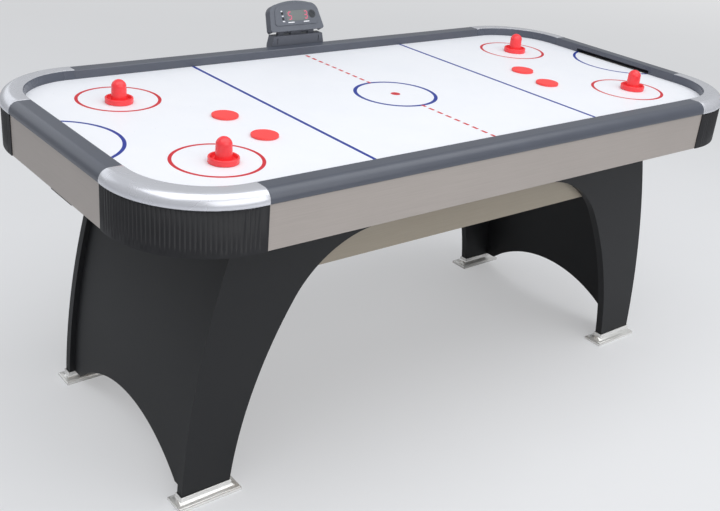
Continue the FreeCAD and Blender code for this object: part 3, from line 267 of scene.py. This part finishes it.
# %% Print the field
def field_laminate():
    finish = Finish("field_laminate", coat_weight=0.1, coat_roughness=0.3)
    x = finish.x
    y = finish.y - middle.y
    from_middle = (x * x + y * y) ** 0.5
    end_x = abs(x) - FACE_OFF_X
    side_y = abs(y) - FACE_OFF_Y
    from_face_off = (end_x * end_x + side_y * side_y) ** 0.5
    crease_x = abs(x) - CREASE_X
    from_crease = (crease_x * crease_x + y * y) ** 0.5
    blue = within(from_middle - RING_RADIUS, RING_LINE)
    blue = blue.either(within(abs(x) - ZONE_X, ZONE_LINE))
    blue = blue.either(within(from_crease - CREASE_RADIUS, CREASE_LINE))
    beat = (abs(y) / DASH_PITCH).wrapped() - 0.5
    dash = within(beat, DASH_SHARE, DASH_SOFT) * within(x, DASH_LINE)
    dash = dash * pick(from_middle, RING_RADIUS, RING_LINE)
    red = within(from_face_off - FACE_OFF_RADIUS, FACE_OFF_LINE)
    red = red.either(within(from_middle, DOT_RADIUS)).either(dash)
    mottle = grain(finish, 9.0, 3.0)
    board = blend(finish, mottle, paint(243, 244, 248), paint(236, 238, 244))
    ink = blend(finish, blue, board, BLUE_INK)
    finish.wear(base_color=blend(finish, red, ink, RED_INK))
    scratches = pick(grain(finish, 60.0, 2.0, (1, 9, 1)), 0.62, 0.12)
    finish.wear(roughness=0.46 + 0.06 * mottle + 0.06 * scratches)
    relief(finish, grain(finish, 260.0, 1.0), 0.00002)
    return finish


# %% [markdown]
# ## Boards, foils and painted metal
# The rails wear a slate foil with a fine leather grain. The corner caps are moulded and sprayed
# silver: small flakes under a clear coat. Aprons and stretchers have a champagne foil with a faint
# brushed streak, and the legs a charcoal one. Their streaks run as the foil does, along each board.
# Each could be a picture wrapped round the board, but it would stretch when the board's size changes,
# and noise does not. The streaked foils differ only in their numbers, so one function makes all three.
# The boards that nobody sees are raw fibreboard.

# %% Rails and caps
SLATE_DARK = paint(69, 73, 84)
SLATE_LIGHT = paint(77, 82, 94)
FIELD_LAP = 0.0115
CORNER_RADIUS = 0.165
CORNER_X = field_high.x - middle.x - FIELD_LAP - CORNER_RADIUS
CORNER_Y = field_high.y - middle.y - FIELD_LAP - CORNER_RADIUS
WALL_SKIN = 0.0013


def rail_foil():
    finish = Finish("rail_foil", coat_weight=0.45, coat_roughness=0.24)
    mottle = grain(finish, 14.0, 3.0)
    finish.wear(base_color=blend(finish, mottle, SLATE_DARK, SLATE_LIGHT))
    finish.wear(roughness=0.36 + 0.08 * mottle)
    relief(finish, cells(finish, 900.0, "SMOOTH_F1"), 0.00008)
    return finish


def cap_silver():
    """Silver, but for the wall round the field, which is masked off and stays slate like the rails'."""
    finish = Finish("cap_silver", coat_roughness=0.14)
    flake = grain(finish, 700.0, 2.0)
    haze = grain(finish, 12.0, 3.0)
    side_x = abs(finish.x - middle.x) - CORNER_X
    side_y = abs(finish.y - middle.y) - CORNER_Y
    from_corner = (side_x * side_x + side_y * side_y) ** 0.5
    silver = pick(from_corner, CORNER_RADIUS + WALL_SKIN, LINE_SOFT)
    bright = blend(finish, flake, paint(212, 213, 220), paint(226, 227, 233))
    finish.wear(base_color=blend(finish, silver, SLATE_LIGHT, bright), roughness=0.24 + 0.06 * haze)
    finish.wear(metallic=0.55 * silver, coat_weight=0.1 + 0.4 * silver)
    relief(finish, flake, 0.000003)
    return finish


# %% Boards
def streaked(name, dark, light, stretch, metal, shine, **fixed):
    """Foil on board: streaks run along the axis whose stretch is small."""
    finish = Finish(name, metallic=metal, **fixed)
    streak = grain(finish, 60.0, 3.0, stretch)
    cloud = grain(finish, 5.0, 3.0)
    finish.wear(base_color=blend(finish, 0.65 * streak + 0.35 * cloud, dark, light))
    finish.wear(roughness=shine + 0.08 * streak)
    relief(finish, streak, 0.00003)
    return finish


def apron_laminate():
    return streaked("apron_laminate", paint(160, 152, 147), paint(186, 178, 172),
                    (0.15, 0.15, 14), 0.3, 0.36)


def stretcher_laminate():
    return streaked("stretcher_laminate", paint(146, 137, 122), paint(170, 161, 146),
                    (0.15, 0.15, 14), 0.2, 0.42)


def leg_laminate():
    return streaked("leg_laminate", paint(25, 26, 28), paint(33, 34, 36), (9, 9, 0.2), 0.0, 0.46, ior=1.4)


def inner_board():
    """Raw fibreboard: pressed fibres in two browns."""
    finish = Finish("inner_board")
    fibre = grain(finish, 420.0, 4.0, (1, 1, 3))
    cloud = grain(finish, 8.0, 3.0)
    browns = paint(126, 98, 68), paint(172, 142, 106)
    finish.wear(base_color=blend(finish, 0.7 * fibre + 0.3 * cloud, *browns))
    finish.wear(roughness=0.78 + 0.12 * fibre)
    relief(finish, fibre, 0.00015)
    return finish


# %% [markdown]
# ## Metal and moulded plastic
# The feet are castings with a bright plated skin, so they are mostly reflection, with a little uneven
# polish. The bolts are turned steel, and the blower's motor has a galvanised spangle. The moulded
# plastics differ in colour and in how fine their spark-eroded grain is. Each could have a function of
# its own, but a table of recipes for one function is shorter and easier to compare. Only the corner
# panels' plastic stands apart: a lower refractive index makes it reflect less than the others.

# %% Metals
def foot_silver():
    finish = Finish("foot_silver", metallic=0.6, coat_weight=0.4, coat_roughness=0.1)
    polish = grain(finish, 40.0, 4.0)
    finish.wear(base_color=blend(finish, polish, paint(244, 243, 240), paint(254, 253, 250)))
    finish.wear(roughness=0.22 + 0.06 * polish)
    relief(finish, grain(finish, 240.0, 2.0), 0.000006)
    return finish


def bolt_steel():
    finish = Finish("bolt_steel", metallic=1.0)
    turned = grain(finish, 700.0, 2.0)
    finish.wear(base_color=blend(finish, turned, paint(150, 152, 156), paint(186, 188, 192)))
    finish.wear(roughness=0.24 + 0.16 * turned)
    relief(finish, turned, 0.00002)
    return finish


def motor_metal():
    finish = Finish("motor_metal", metallic=1.0)
    spangle = cells(finish, 160.0)
    finish.wear(base_color=blend(finish, spangle, paint(168, 172, 176), paint(204, 207, 210)))
    finish.wear(roughness=0.28 + 0.2 * spangle)
    return finish


# %% Plastics
def corner_plastic():
    finish = Finish("corner_plastic", ior=1.4)
    cloud = grain(finish, 20.0, 3.0)
    finish.wear(base_color=blend(finish, cloud, paint(26, 26, 29), paint(33, 33, 36)))
    finish.wear(roughness=0.44 + 0.08 * cloud)
    relief(finish, grain(finish, 1300.0, 2.0), 0.00004)
    return finish


def moulded(name, dark, light, shine, grit, depth):
    """Moulded plastic: a slight cloud in its colour and a fine grain of a depth in metres."""
    finish = Finish(name)
    cloud = grain(finish, 25.0, 3.0)
    finish.wear(base_color=blend(finish, cloud, dark, light), roughness=shine + 0.08 * cloud)
    relief(finish, grain(finish, grit, 2.0), depth)
    return finish


PLASTICS = {
    "goal_plastic": (paint(24, 24, 26), paint(32, 32, 35), 0.42, 900.0, 0.00005),
    "blower_plastic": (paint(28, 28, 30), paint(38, 38, 41), 0.44, 900.0, 0.00005),
    "impeller_plastic": (paint(186, 184, 176), paint(206, 204, 196), 0.4, 700.0, 0.00003),
    "power_plastic": (paint(20, 20, 22), paint(28, 28, 30), 0.34, 900.0, 0.00004),
    "rocker_plastic": (paint(150, 18, 16), paint(176, 28, 22), 0.18, 500.0, 0.00001),
    "scorer_plastic": (paint(84, 87, 96), paint(94, 97, 106), 0.4, 1000.0, 0.00005),
    "scorer_face_plastic": (paint(88, 92, 101), paint(98, 102, 111), 0.42, 1000.0, 0.00005),
    "display_window": (paint(98, 104, 103), paint(106, 112, 111), 0.12, 400.0, 0.000005),
    "speaker_plastic": (paint(52, 55, 60), paint(62, 65, 70), 0.42, 1000.0, 0.00004),
    "button_plastic": (paint(10, 10, 12), paint(18, 18, 20), 0.35, 900.0, 0.00002),
    "mallet_plastic": (paint(246, 58, 64), paint(252, 70, 76), 0.18, 350.0, 0.00002),
    "puck_plastic": (paint(250, 66, 66), paint(254, 78, 76), 0.42, 500.0, 0.00002),
}


# %% [markdown]
# ## Felt, ink and lit numbers
# Three finishes belong to pieces that only this script makes. Felt is pressed wool, so it is rough, and
# its fibres are a fine, deep noise. The white ink on the scorer is thick and a little uneven. The bars
# of the number display glow. Small lamps behind a window could make that light, but it is too faint to
# light anything round it, so the bars' own emission is enough.

# %% Felt, ink and lit numbers
def felt():
    """Wool felt: short fibres lying every way, in two greys."""
    finish = Finish("felt")
    fibre = grain(finish, 1400.0, 4.0, (1, 1, 0.2), 0.7)
    finish.wear(base_color=blend(finish, fibre, paint(40, 40, 44), paint(92, 92, 98)))
    finish.wear(roughness=0.86 + 0.1 * fibre)
    relief(finish, fibre, 0.0003)
    return finish


def white_print():
    """Thick white ink, a little uneven where it was pressed on."""
    finish = Finish("white_print")
    cover = grain(finish, 900.0, 2.0)
    finish.wear(base_color=blend(finish, cover, paint(226, 227, 232), paint(246, 247, 250)))
    finish.wear(roughness=0.4 + 0.1 * cover)
    return finish


def lit_segment():
    """Lit bar of a number display, its colour and glow a little uneven."""
    finish = Finish("lit_segment", emission_strength=0.16)
    glow = grain(finish, 500.0, 1.0)
    finish.wear(base_color=blend(finish, glow, paint(190, 82, 110), paint(208, 98, 126)))
    finish.wear(emission_color=blend(finish, glow, paint(222, 80, 112), paint(236, 100, 130)))
    finish.wear(roughness=0.3 + 0.1 * glow)
    return finish


# %% [markdown]
# ## One finish for each slot
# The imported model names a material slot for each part, and parts of one stuff share a slot. Apart from
# the last three, each finish above has its slot's name, so a dictionary is all it takes to find a part's
# finish. Each is made once and shared, so that a change to it shows on every part that wears it.

# %% Make every finish
finishes = {name: moulded(name, *recipe) for name, recipe in PLASTICS.items()}
for make in (field_laminate, rail_foil, cap_silver, apron_laminate, stretcher_laminate, leg_laminate,
             corner_plastic, foot_silver, bolt_steel, motor_metal, inner_board, felt, white_print,
             lit_segment):
    finishes[make.__name__] = make()
print(len(finishes), "finishes for", len(set(slot_of.values())), "slots")

# %% [markdown]
# ## Eased edges and smooth curves
# A CAD node comes in as loose flat triangles, and its edges are perfectly sharp. No real board or
# moulding is: light always catches a small round along the edge. Each node is copied, its triangles
# are welded, flat faces are made whole again, and its sharp edges get a narrow bevel. A Bevel modifier
# would do this too, but once a mesh is welded its sharp edges are at hand, and the bevel can be made in
# it for good. Curved faces are then shaded smooth, and a Weighted Normal modifier keeps the broad flats
# truly flat. The corner panels and caps are curved all over and do without it. A cap catches the
# brightest light, so its curve is made finer too: its flat end is swept round the corner again, in the
# CAD part's own shape. Extruded faces are stored in an order that changes from run to run, and the
# bevel's last digits with it, so the swept cap is put in a set order first.

# %% Make a piece, ease its edges
WELD = 0.000005
FLAT = math.radians(0.05)
SHARP = math.radians(38)


def add_piece(name, mesh, body, finish):
    """Turn a bmesh into a piece at the origin, with its finish, on its body."""
    data = bpy.data.meshes.new(name)
    mesh.to_mesh(data)
    mesh.free()
    data.materials.append(finish.material)
    for face in data.polygons:
        face.use_smooth = True
    data.set_sharp_from_angle(angle=SHARP)
    piece = bpy.data.objects.new(name, data)
    bpy.context.scene.collection.objects.link(piece)
    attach(piece, body)
    return piece


def ease(mesh, width, steps=3):
    """Bevel the sharp edges of a closed mesh."""
    sharp = [edge for edge in mesh.edges if len(edge.link_faces) == 2 and edge.calc_face_angle(0) > SHARP]
    bmesh.ops.bevel(mesh, geom=sharp, offset=width, offset_type="OFFSET", affect="EDGES",
                    segments=steps, profile=0.5, material=-1, clamp_overlap=True)


def welded(name):
    """A CAD node's mesh with its vertices joined and its flat faces whole."""
    mesh = bmesh.new()
    mesh.from_mesh(nodes[name].data)
    bmesh.ops.remove_doubles(mesh, verts=mesh.verts, dist=WELD)
    bmesh.ops.dissolve_limit(mesh, angle_limit=FLAT, verts=mesh.verts, edges=mesh.edges)
    return mesh


# %% Sweep a cap
CAP_STEPS = 48
END_REACH = 0.0001


def only(kind, geometry):
    return [item for item in geometry if isinstance(item, kind)]


def settled(mesh):
    """The same mesh stored in a set order, because an extruded one's changes from run to run."""
    spots = sorted(vert.co.to_tuple() for vert in mesh.verts)
    rank = {spot: index for index, spot in enumerate(spots)}
    rings = sorted([rank[vert.co.to_tuple()] for vert in face.verts] for face in mesh.faces)
    mesh.free()
    made = bmesh.new()
    verts = [made.verts.new(spot) for spot in spots]
    for ring in rings:
        made.faces.new([verts[index] for index in ring])
    made.normal_update()
    return made


def swept_cap(name):
    """A corner cap made again from its own flat end: a straight stub, a quarter turn, and a stub."""
    mesh = welded(name)
    side_x = 1 if name.endswith("right") else -1
    side_y = 1 if "_back_" in name else -1
    axis = Vector((middle.x + side_x * CORNER_X, middle.y + side_y * CORNER_Y, 0))
    inner = min((vert.co.x for vert in mesh.verts), key=abs)
    beyond = [face for face in mesh.faces if max(abs(vert.co.x - inner) for vert in face.verts) > END_REACH]
    bmesh.ops.delete(mesh, geom=beyond, context="FACES")
    stub = abs(axis.x - inner)
    made = bmesh.ops.extrude_face_region(mesh, geom=list(mesh.faces))["geom"]
    bmesh.ops.translate(mesh, verts=only(bmesh.types.BMVert, made), vec=(side_x * stub, 0, 0))
    made = bmesh.ops.spin(mesh, geom=only(bmesh.types.BMFace, made), cent=axis, axis=(0, 0, 1),
                          angle=-side_x * side_y * math.pi / 2, steps=CAP_STEPS, use_merge=False,
                          use_duplicate=False)["geom_last"]
    made = bmesh.ops.extrude_face_region(mesh, geom=only(bmesh.types.BMFace, made))["geom"]
    bmesh.ops.translate(mesh, verts=only(bmesh.types.BMVert, made), vec=(0, -side_y * stub, 0))
    buried = [face for face in mesh.faces if all(len(edge.link_faces) > 2 for edge in face.edges)]
    bmesh.ops.delete(mesh, geom=buried, context="FACES_ONLY")
    bmesh.ops.recalc_face_normals(mesh, faces=mesh.faces)
    return settled(mesh)


# %% Dress a node
CURVED = ("cap_silver", "corner_plastic")


def dress(name, width=0.0):
    """A clean copy of a CAD node, eased and shaded, that stands for it."""
    mesh = swept_cap(name) if slot_of[name] == "cap_silver" else welded(name)
    if width:
        ease(mesh, width)
    piece = add_piece(f"{name}.dressed", mesh, body_of[name], finishes[slot_of[name]])
    if slot_of[name] not in CURVED:
        piece.modifiers.new("Flat faces", "WEIGHTED_NORMAL").keep_sharp = True
    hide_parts(name)


# %% Dress them all
EASED = {
    "apron_laminate": 0.0010,
    "leg_laminate": 0.0012,
    "stretcher_laminate": 0.0010,
    "rail_foil": 0.0006,
    "cap_silver": 0.0006,
    "scorer_plastic": 0.0006,
    "scorer_face_plastic": 0.0005,
    "display_window": 0.0003,
    "button_plastic": 0.0004,
    "power_plastic": 0.0004,
    "rocker_plastic": 0.0004,
    "goal_plastic": 0.0006,
}
for name, slot in slot_of.items():
    if slot == "field_laminate":
        nodes[name].material_slots[0].material = finishes[slot].material
    else:
        dress(name, EASED.get(slot, 0.0))
print("dressed", len(slot_of) - 1, "parts")

# %% [markdown]
# ## Felt under the mallets
# Each mallet stands in a felt pad, glued into a shallow recess in its foot so that it neither scratches
# the field nor sounds hard. A disc with an eased rim is all it takes, standing a little proud of the
# foot. It rides on its mallet.

# %% Felt pads
PAD_RADIUS = 0.0282
PAD_THICK = 0.0016
PAD_EASE = 0.0003
PAD_PROUD = 0.0002
PAD_SIDES = 64


def centre_of(name):
    low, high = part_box(name)
    return (low + high) / 2, low.z


mallets = [name for name in slot_of if name.startswith("mallet_")]
for name in mallets:
    centre, foot = centre_of(name)
    pad = bmesh.new()
    at = Matrix.Translation((centre.x, centre.y, foot + PAD_THICK / 2 - PAD_PROUD))
    bmesh.ops.create_cone(pad, cap_ends=True, segments=PAD_SIDES, radius1=PAD_RADIUS, radius2=PAD_RADIUS,
                          depth=PAD_THICK, matrix=at)
    ease(pad, PAD_EASE)
    add_piece(f"{name}.felt", pad, body_of[name], finishes["felt"])
print("a felt pad under each of", len(mallets), "mallets")

# %% [markdown]
# ## Numbers and marks on the scorer
# The display shows one number for each side, made of lit bars on the window, and short white marks
# stand for the words beside the buttons and under the numbers. They could be painted in the finish, as
# the field's lines are, but a slanted bar with cut corners is easier to draw as a shape, so they are
# thin pieces laid on the face. The face leans, so they are drawn flat first: u runs along the head and
# v up it, both from the hinge pin, and a matrix turns them into place. The pin's place and the face's
# direction come from the frame's joints.

# %% The head's own plane
joints = {joint["name"]: joint for joint in frame["record"]["behaviour"]["joints"]}
pin = Vector(joints["scorer_tilt"]["pos_m"])
inward = Vector(joints["upper_button_press"]["axis"])
along = Vector((1, 0, 0))
upward = along.cross(inward).normalized()
lean = math.degrees(math.acos(upward.z))
print("hinge pin", round(pin.z, 4), "m up, face leaning back", round(lean, 1), "degrees")


def face_plane(name):
    """Matrix from u, v and height over a node's front face to the model's frame."""
    front = min((vertex.co - pin).dot(inward) for vertex in nodes[name].data.vertices)
    turn = Matrix((along, upward, -inward)).transposed().to_4x4()
    return Matrix.Translation(pin + front * inward) @ turn


def bar(mesh, plane, place, size, corner, steps=4, lean=0.0):
    """Flat bar on a plane: its middle, its width, height and thickness, and its corners' radius."""
    shear = Matrix(((1, lean, 0, 0), (0, 1, 0, 0), (0, 0, 1, 0), (0, 0, 0, 1)))
    made = bmesh.ops.create_cube(mesh, size=1.0)["verts"]
    bmesh.ops.scale(mesh, verts=made, vec=size)
    upright = [edge for edge in {edge for vert in made for edge in vert.link_edges}
               if abs(edge.verts[0].co.z - edge.verts[1].co.z) > size[2] / 2]
    upright.sort(key=lambda edge: (edge.verts[0].co.x, edge.verts[0].co.y))
    before = set(mesh.verts) - set(made)
    bmesh.ops.bevel(mesh, geom=upright, offset=corner, offset_type="OFFSET", affect="EDGES",
                    segments=steps, profile=0.5, material=-1, clamp_overlap=True)
    fresh = [vert for vert in mesh.verts if vert not in before]
    bmesh.ops.translate(mesh, verts=fresh, vec=place)
    bmesh.ops.transform(mesh, verts=fresh, matrix=plane @ shear)


# %% Lit numbers
DIGIT_WIDE = 0.0125
DIGIT_HIGH = 0.0235
STROKE = 0.0029
STROKE_CORNER = 0.49 * STROKE
SEGMENT_GAP = 0.0007
DIGIT_LEAN = 0.08
GLOW_THICK = 0.0003
SEGMENTS = {"top": (0, 1), "middle": (0, 0), "bottom": (0, -1), "upper left": (-1, 0.5),
            "upper right": (1, 0.5), "lower left": (-1, -0.5), "lower right": (1, -0.5)}
NUMBERS = {
    5: ("top", "upper left", "middle", "lower right", "bottom"),
    3: ("top", "upper right", "middle", "lower right", "bottom"),
}


def number(mesh, plane, value, u, v):
    """One seven-segment number about the point u, v."""
    column = (DIGIT_WIDE - STROKE) / 2
    row = (DIGIT_HIGH - STROKE) / 2
    for word in NUMBERS[value]:
        across, up = SEGMENTS[word]
        lies = across == 0
        length = (2 * column if lies else row) - SEGMENT_GAP
        size = (length, STROKE, GLOW_THICK) if lies else (STROKE, length, GLOW_THICK)
        place = (u + across * column, v + up * row, GLOW_THICK / 2)
        bar(mesh, plane, place, size, STROKE_CORNER, 1, DIGIT_LEAN)


# %% Set the score
SCORES = {"left": (5, -0.0195), "right": (3, 0.0345)}

glass = face_plane("scorer_window")
window_v = (centre_of("scorer_window")[0] - pin).dot(upward)
for side, (value, u) in SCORES.items():
    digit = bmesh.new()
    number(digit, glass, value, u - DIGIT_LEAN * window_v, window_v)
    add_piece(f"score_{side}", digit, "scorer_head", finishes["lit_segment"])
print("numbers lit:", [value for value, u in SCORES.values()])

# %% White marks
MARK_THICK = 0.0002
MARK_CORNER = 0.0009
MARKS = [(-0.0446, 0.0525, 0.0055, 0.0026), (-0.0440, 0.0385, 0.0062, 0.0026),
         (-0.0435, 0.0235, 0.0072, 0.0028), (-0.0190, 0.0196, 0.0215, 0.0026),
         (0.0330, 0.0196, 0.0190, 0.0026)]

plate = face_plane("scorer_face")
marks = bmesh.new()
for u, v, wide, high in MARKS:
    bar(marks, plate, (u, v, MARK_THICK / 2), (wide, high, MARK_THICK), MARK_CORNER)
add_piece("scorer_marks", marks, "scorer_head", finishes["white_print"])
print(len(MARKS), "white marks")

# %% [markdown]
# ## Floor
# The table stands on a wide pale sheet that fades into the background far away. A sheet curved up at
# the back would hide the horizon too, but only from one side, and a haze hides it all round. Only the
# camera sees the haze: it adds no light to the table.

# %% Floor
FLOOR_RADIUS = 14.0
FLOOR_SIDES = 96
BACKDROP = (0.87, 0.875, 0.885, 1.0)
HAZE_MIDDLE = 6.5
HAZE_WIDE = 7.0
HAZE_NEAR = 0.4

sheet = bmesh.new()
bmesh.ops.create_circle(sheet, cap_ends=True, segments=FLOOR_SIDES, radius=FLOOR_RADIUS)
floor_data = bpy.data.meshes.new("floor")
sheet.to_mesh(floor_data)
sheet.free()
floor = bpy.data.objects.new("floor", floor_data)
bpy.context.scene.collection.objects.link(floor)

ground = Finish("floor", roughness=0.9)
cloud = grain(ground, 1.5, 3.0)
ground.wear(base_color=blend(ground, cloud, paint(226, 227, 230), paint(232, 233, 236)))
away = (ground.x * ground.x + ground.y * ground.y) ** 0.5
far = pick(away, HAZE_MIDDLE, HAZE_WIDE) * (1 - HAZE_NEAR) + HAZE_NEAR
seen = ground.wire(ground.node("ShaderNodeLightPath"), "Is Camera Ray")
haze = ground.wire(ground.node("ShaderNodeEmission", {}, {"Color": BACKDROP, "Strength": 1.0}))
sockets = {0: far * seen, 1: ground.wire(ground.shader), 2: haze}
mixed = ground.node("ShaderNodeMixShader", {}, sockets)
ground.feed(ground.outlet.inputs["Surface"], ground.wire(mixed))
floor_data.materials.append(ground.material)
print("floor", 2 * FLOOR_RADIUS, "m across")

# %% [markdown]
# ## World and lamps
# A picture of a real studio could light the table by itself, but lamps can be moved and dimmed one at a
# time. The world gives an even light from all round, and the camera sees it as the plain backdrop. Soft
# lamps add the shape: a large key lamp in front, one overhead for the field and the caps' bright crowns,
# and one behind for the rails' sheen.

# %% World
SKY_LIGHT = 0.42
SKY_TINT = (0.96, 0.98, 1.0, 1.0)

world = bpy.data.worlds.new("studio")
world.use_nodes = True
bpy.context.scene.world = world
sky = Wiring(world.node_tree)
light_side = sky.wire(sky.node("ShaderNodeBackground", {}, {"Color": SKY_TINT, "Strength": SKY_LIGHT}))
seen_side = sky.wire(sky.node("ShaderNodeBackground", {}, {"Color": BACKDROP, "Strength": 1.0}))
seen = sky.wire(sky.node("ShaderNodeLightPath"), "Is Camera Ray")
sides = sky.wire(sky.node("ShaderNodeMixShader", {}, {0: seen, 1: light_side, 2: seen_side}))
sky.node("ShaderNodeOutputWorld", {}, {"Surface": sides})
print("world light", SKY_LIGHT)


# %% Lamps
def soft_lamp(name, place, aim, width, height, watts, tint=(1.0, 1.0, 1.0)):
    """A rectangular soft lamp that faces the aim."""
    data = bpy.data.lights.new(name, "AREA")
    data.shape = "RECTANGLE"
    data.size = width
    data.size_y = height
    data.energy = watts
    data.color = tint
    lamp = bpy.data.objects.new(name, data)
    bpy.context.scene.collection.objects.link(lamp)
    turn = (aim - place).to_track_quat("-Z", "Y").to_matrix().to_4x4()
    lamp.matrix_world = Matrix.Translation(place) @ turn


TARGET_HEIGHT = 0.7
target = Vector((0, middle.y, TARGET_HEIGHT))
soft_lamp("key", Vector((0.1, -3.8, 2.4)), target, 4.8, 3.0, 62)
soft_lamp("overhead", Vector((-0.1, -0.7, 3.3)), target, 6.2, 2.6, 84, (0.97, 0.985, 1.0))
soft_lamp("behind", Vector((-1.4, 3.2, 2.2)), target, 3.6, 1.6, 12, (0.93, 0.96, 1.0))
print(len(bpy.data.lights), "lamps,", sum(lamp.energy for lamp in bpy.data.lights), "W in all")

# %% [markdown]
# ## Camera
# The eye stands beyond the table's near left corner, a little above shoulder height. A Track To
# constraint could aim it, but would keep it level, and this view is turned a little about its line of
# sight. So its three axes are worked out from where it stands, what it looks at and how far it turns.

# %% Camera
EYE = Vector((-1.6547, middle.y - 1.8657, 1.4848))
AIM = Vector((-0.6790, middle.y - 0.7130, 0.7700))
ROLL = 0.09236
LENS = 50.137
SHIFT_X = 0.0031
SHIFT_Y = 0.0002

ahead = (AIM - EYE).normalized()
right = ahead.cross(Vector((0, 0, 1))).normalized()
above = right.cross(ahead)
turned_right = math.cos(ROLL) * right + math.sin(ROLL) * above
turned_above = math.cos(ROLL) * above - math.sin(ROLL) * right
camera_data = bpy.data.cameras.new("camera")
camera_data.sensor_width = 36.0
camera_data.lens = LENS
camera_data.shift_x = SHIFT_X
camera_data.shift_y = SHIFT_Y
camera = bpy.data.objects.new("camera", camera_data)
bpy.context.scene.collection.objects.link(camera)
axes = Matrix((turned_right, turned_above, -ahead)).transposed().to_4x4()
camera.matrix_world = Matrix.Translation(EYE) @ axes
bpy.context.scene.camera = camera
bpy.context.scene.view_settings.view_transform = "Standard"
print("camera", round((AIM - EYE).length, 2), "m from its aim")
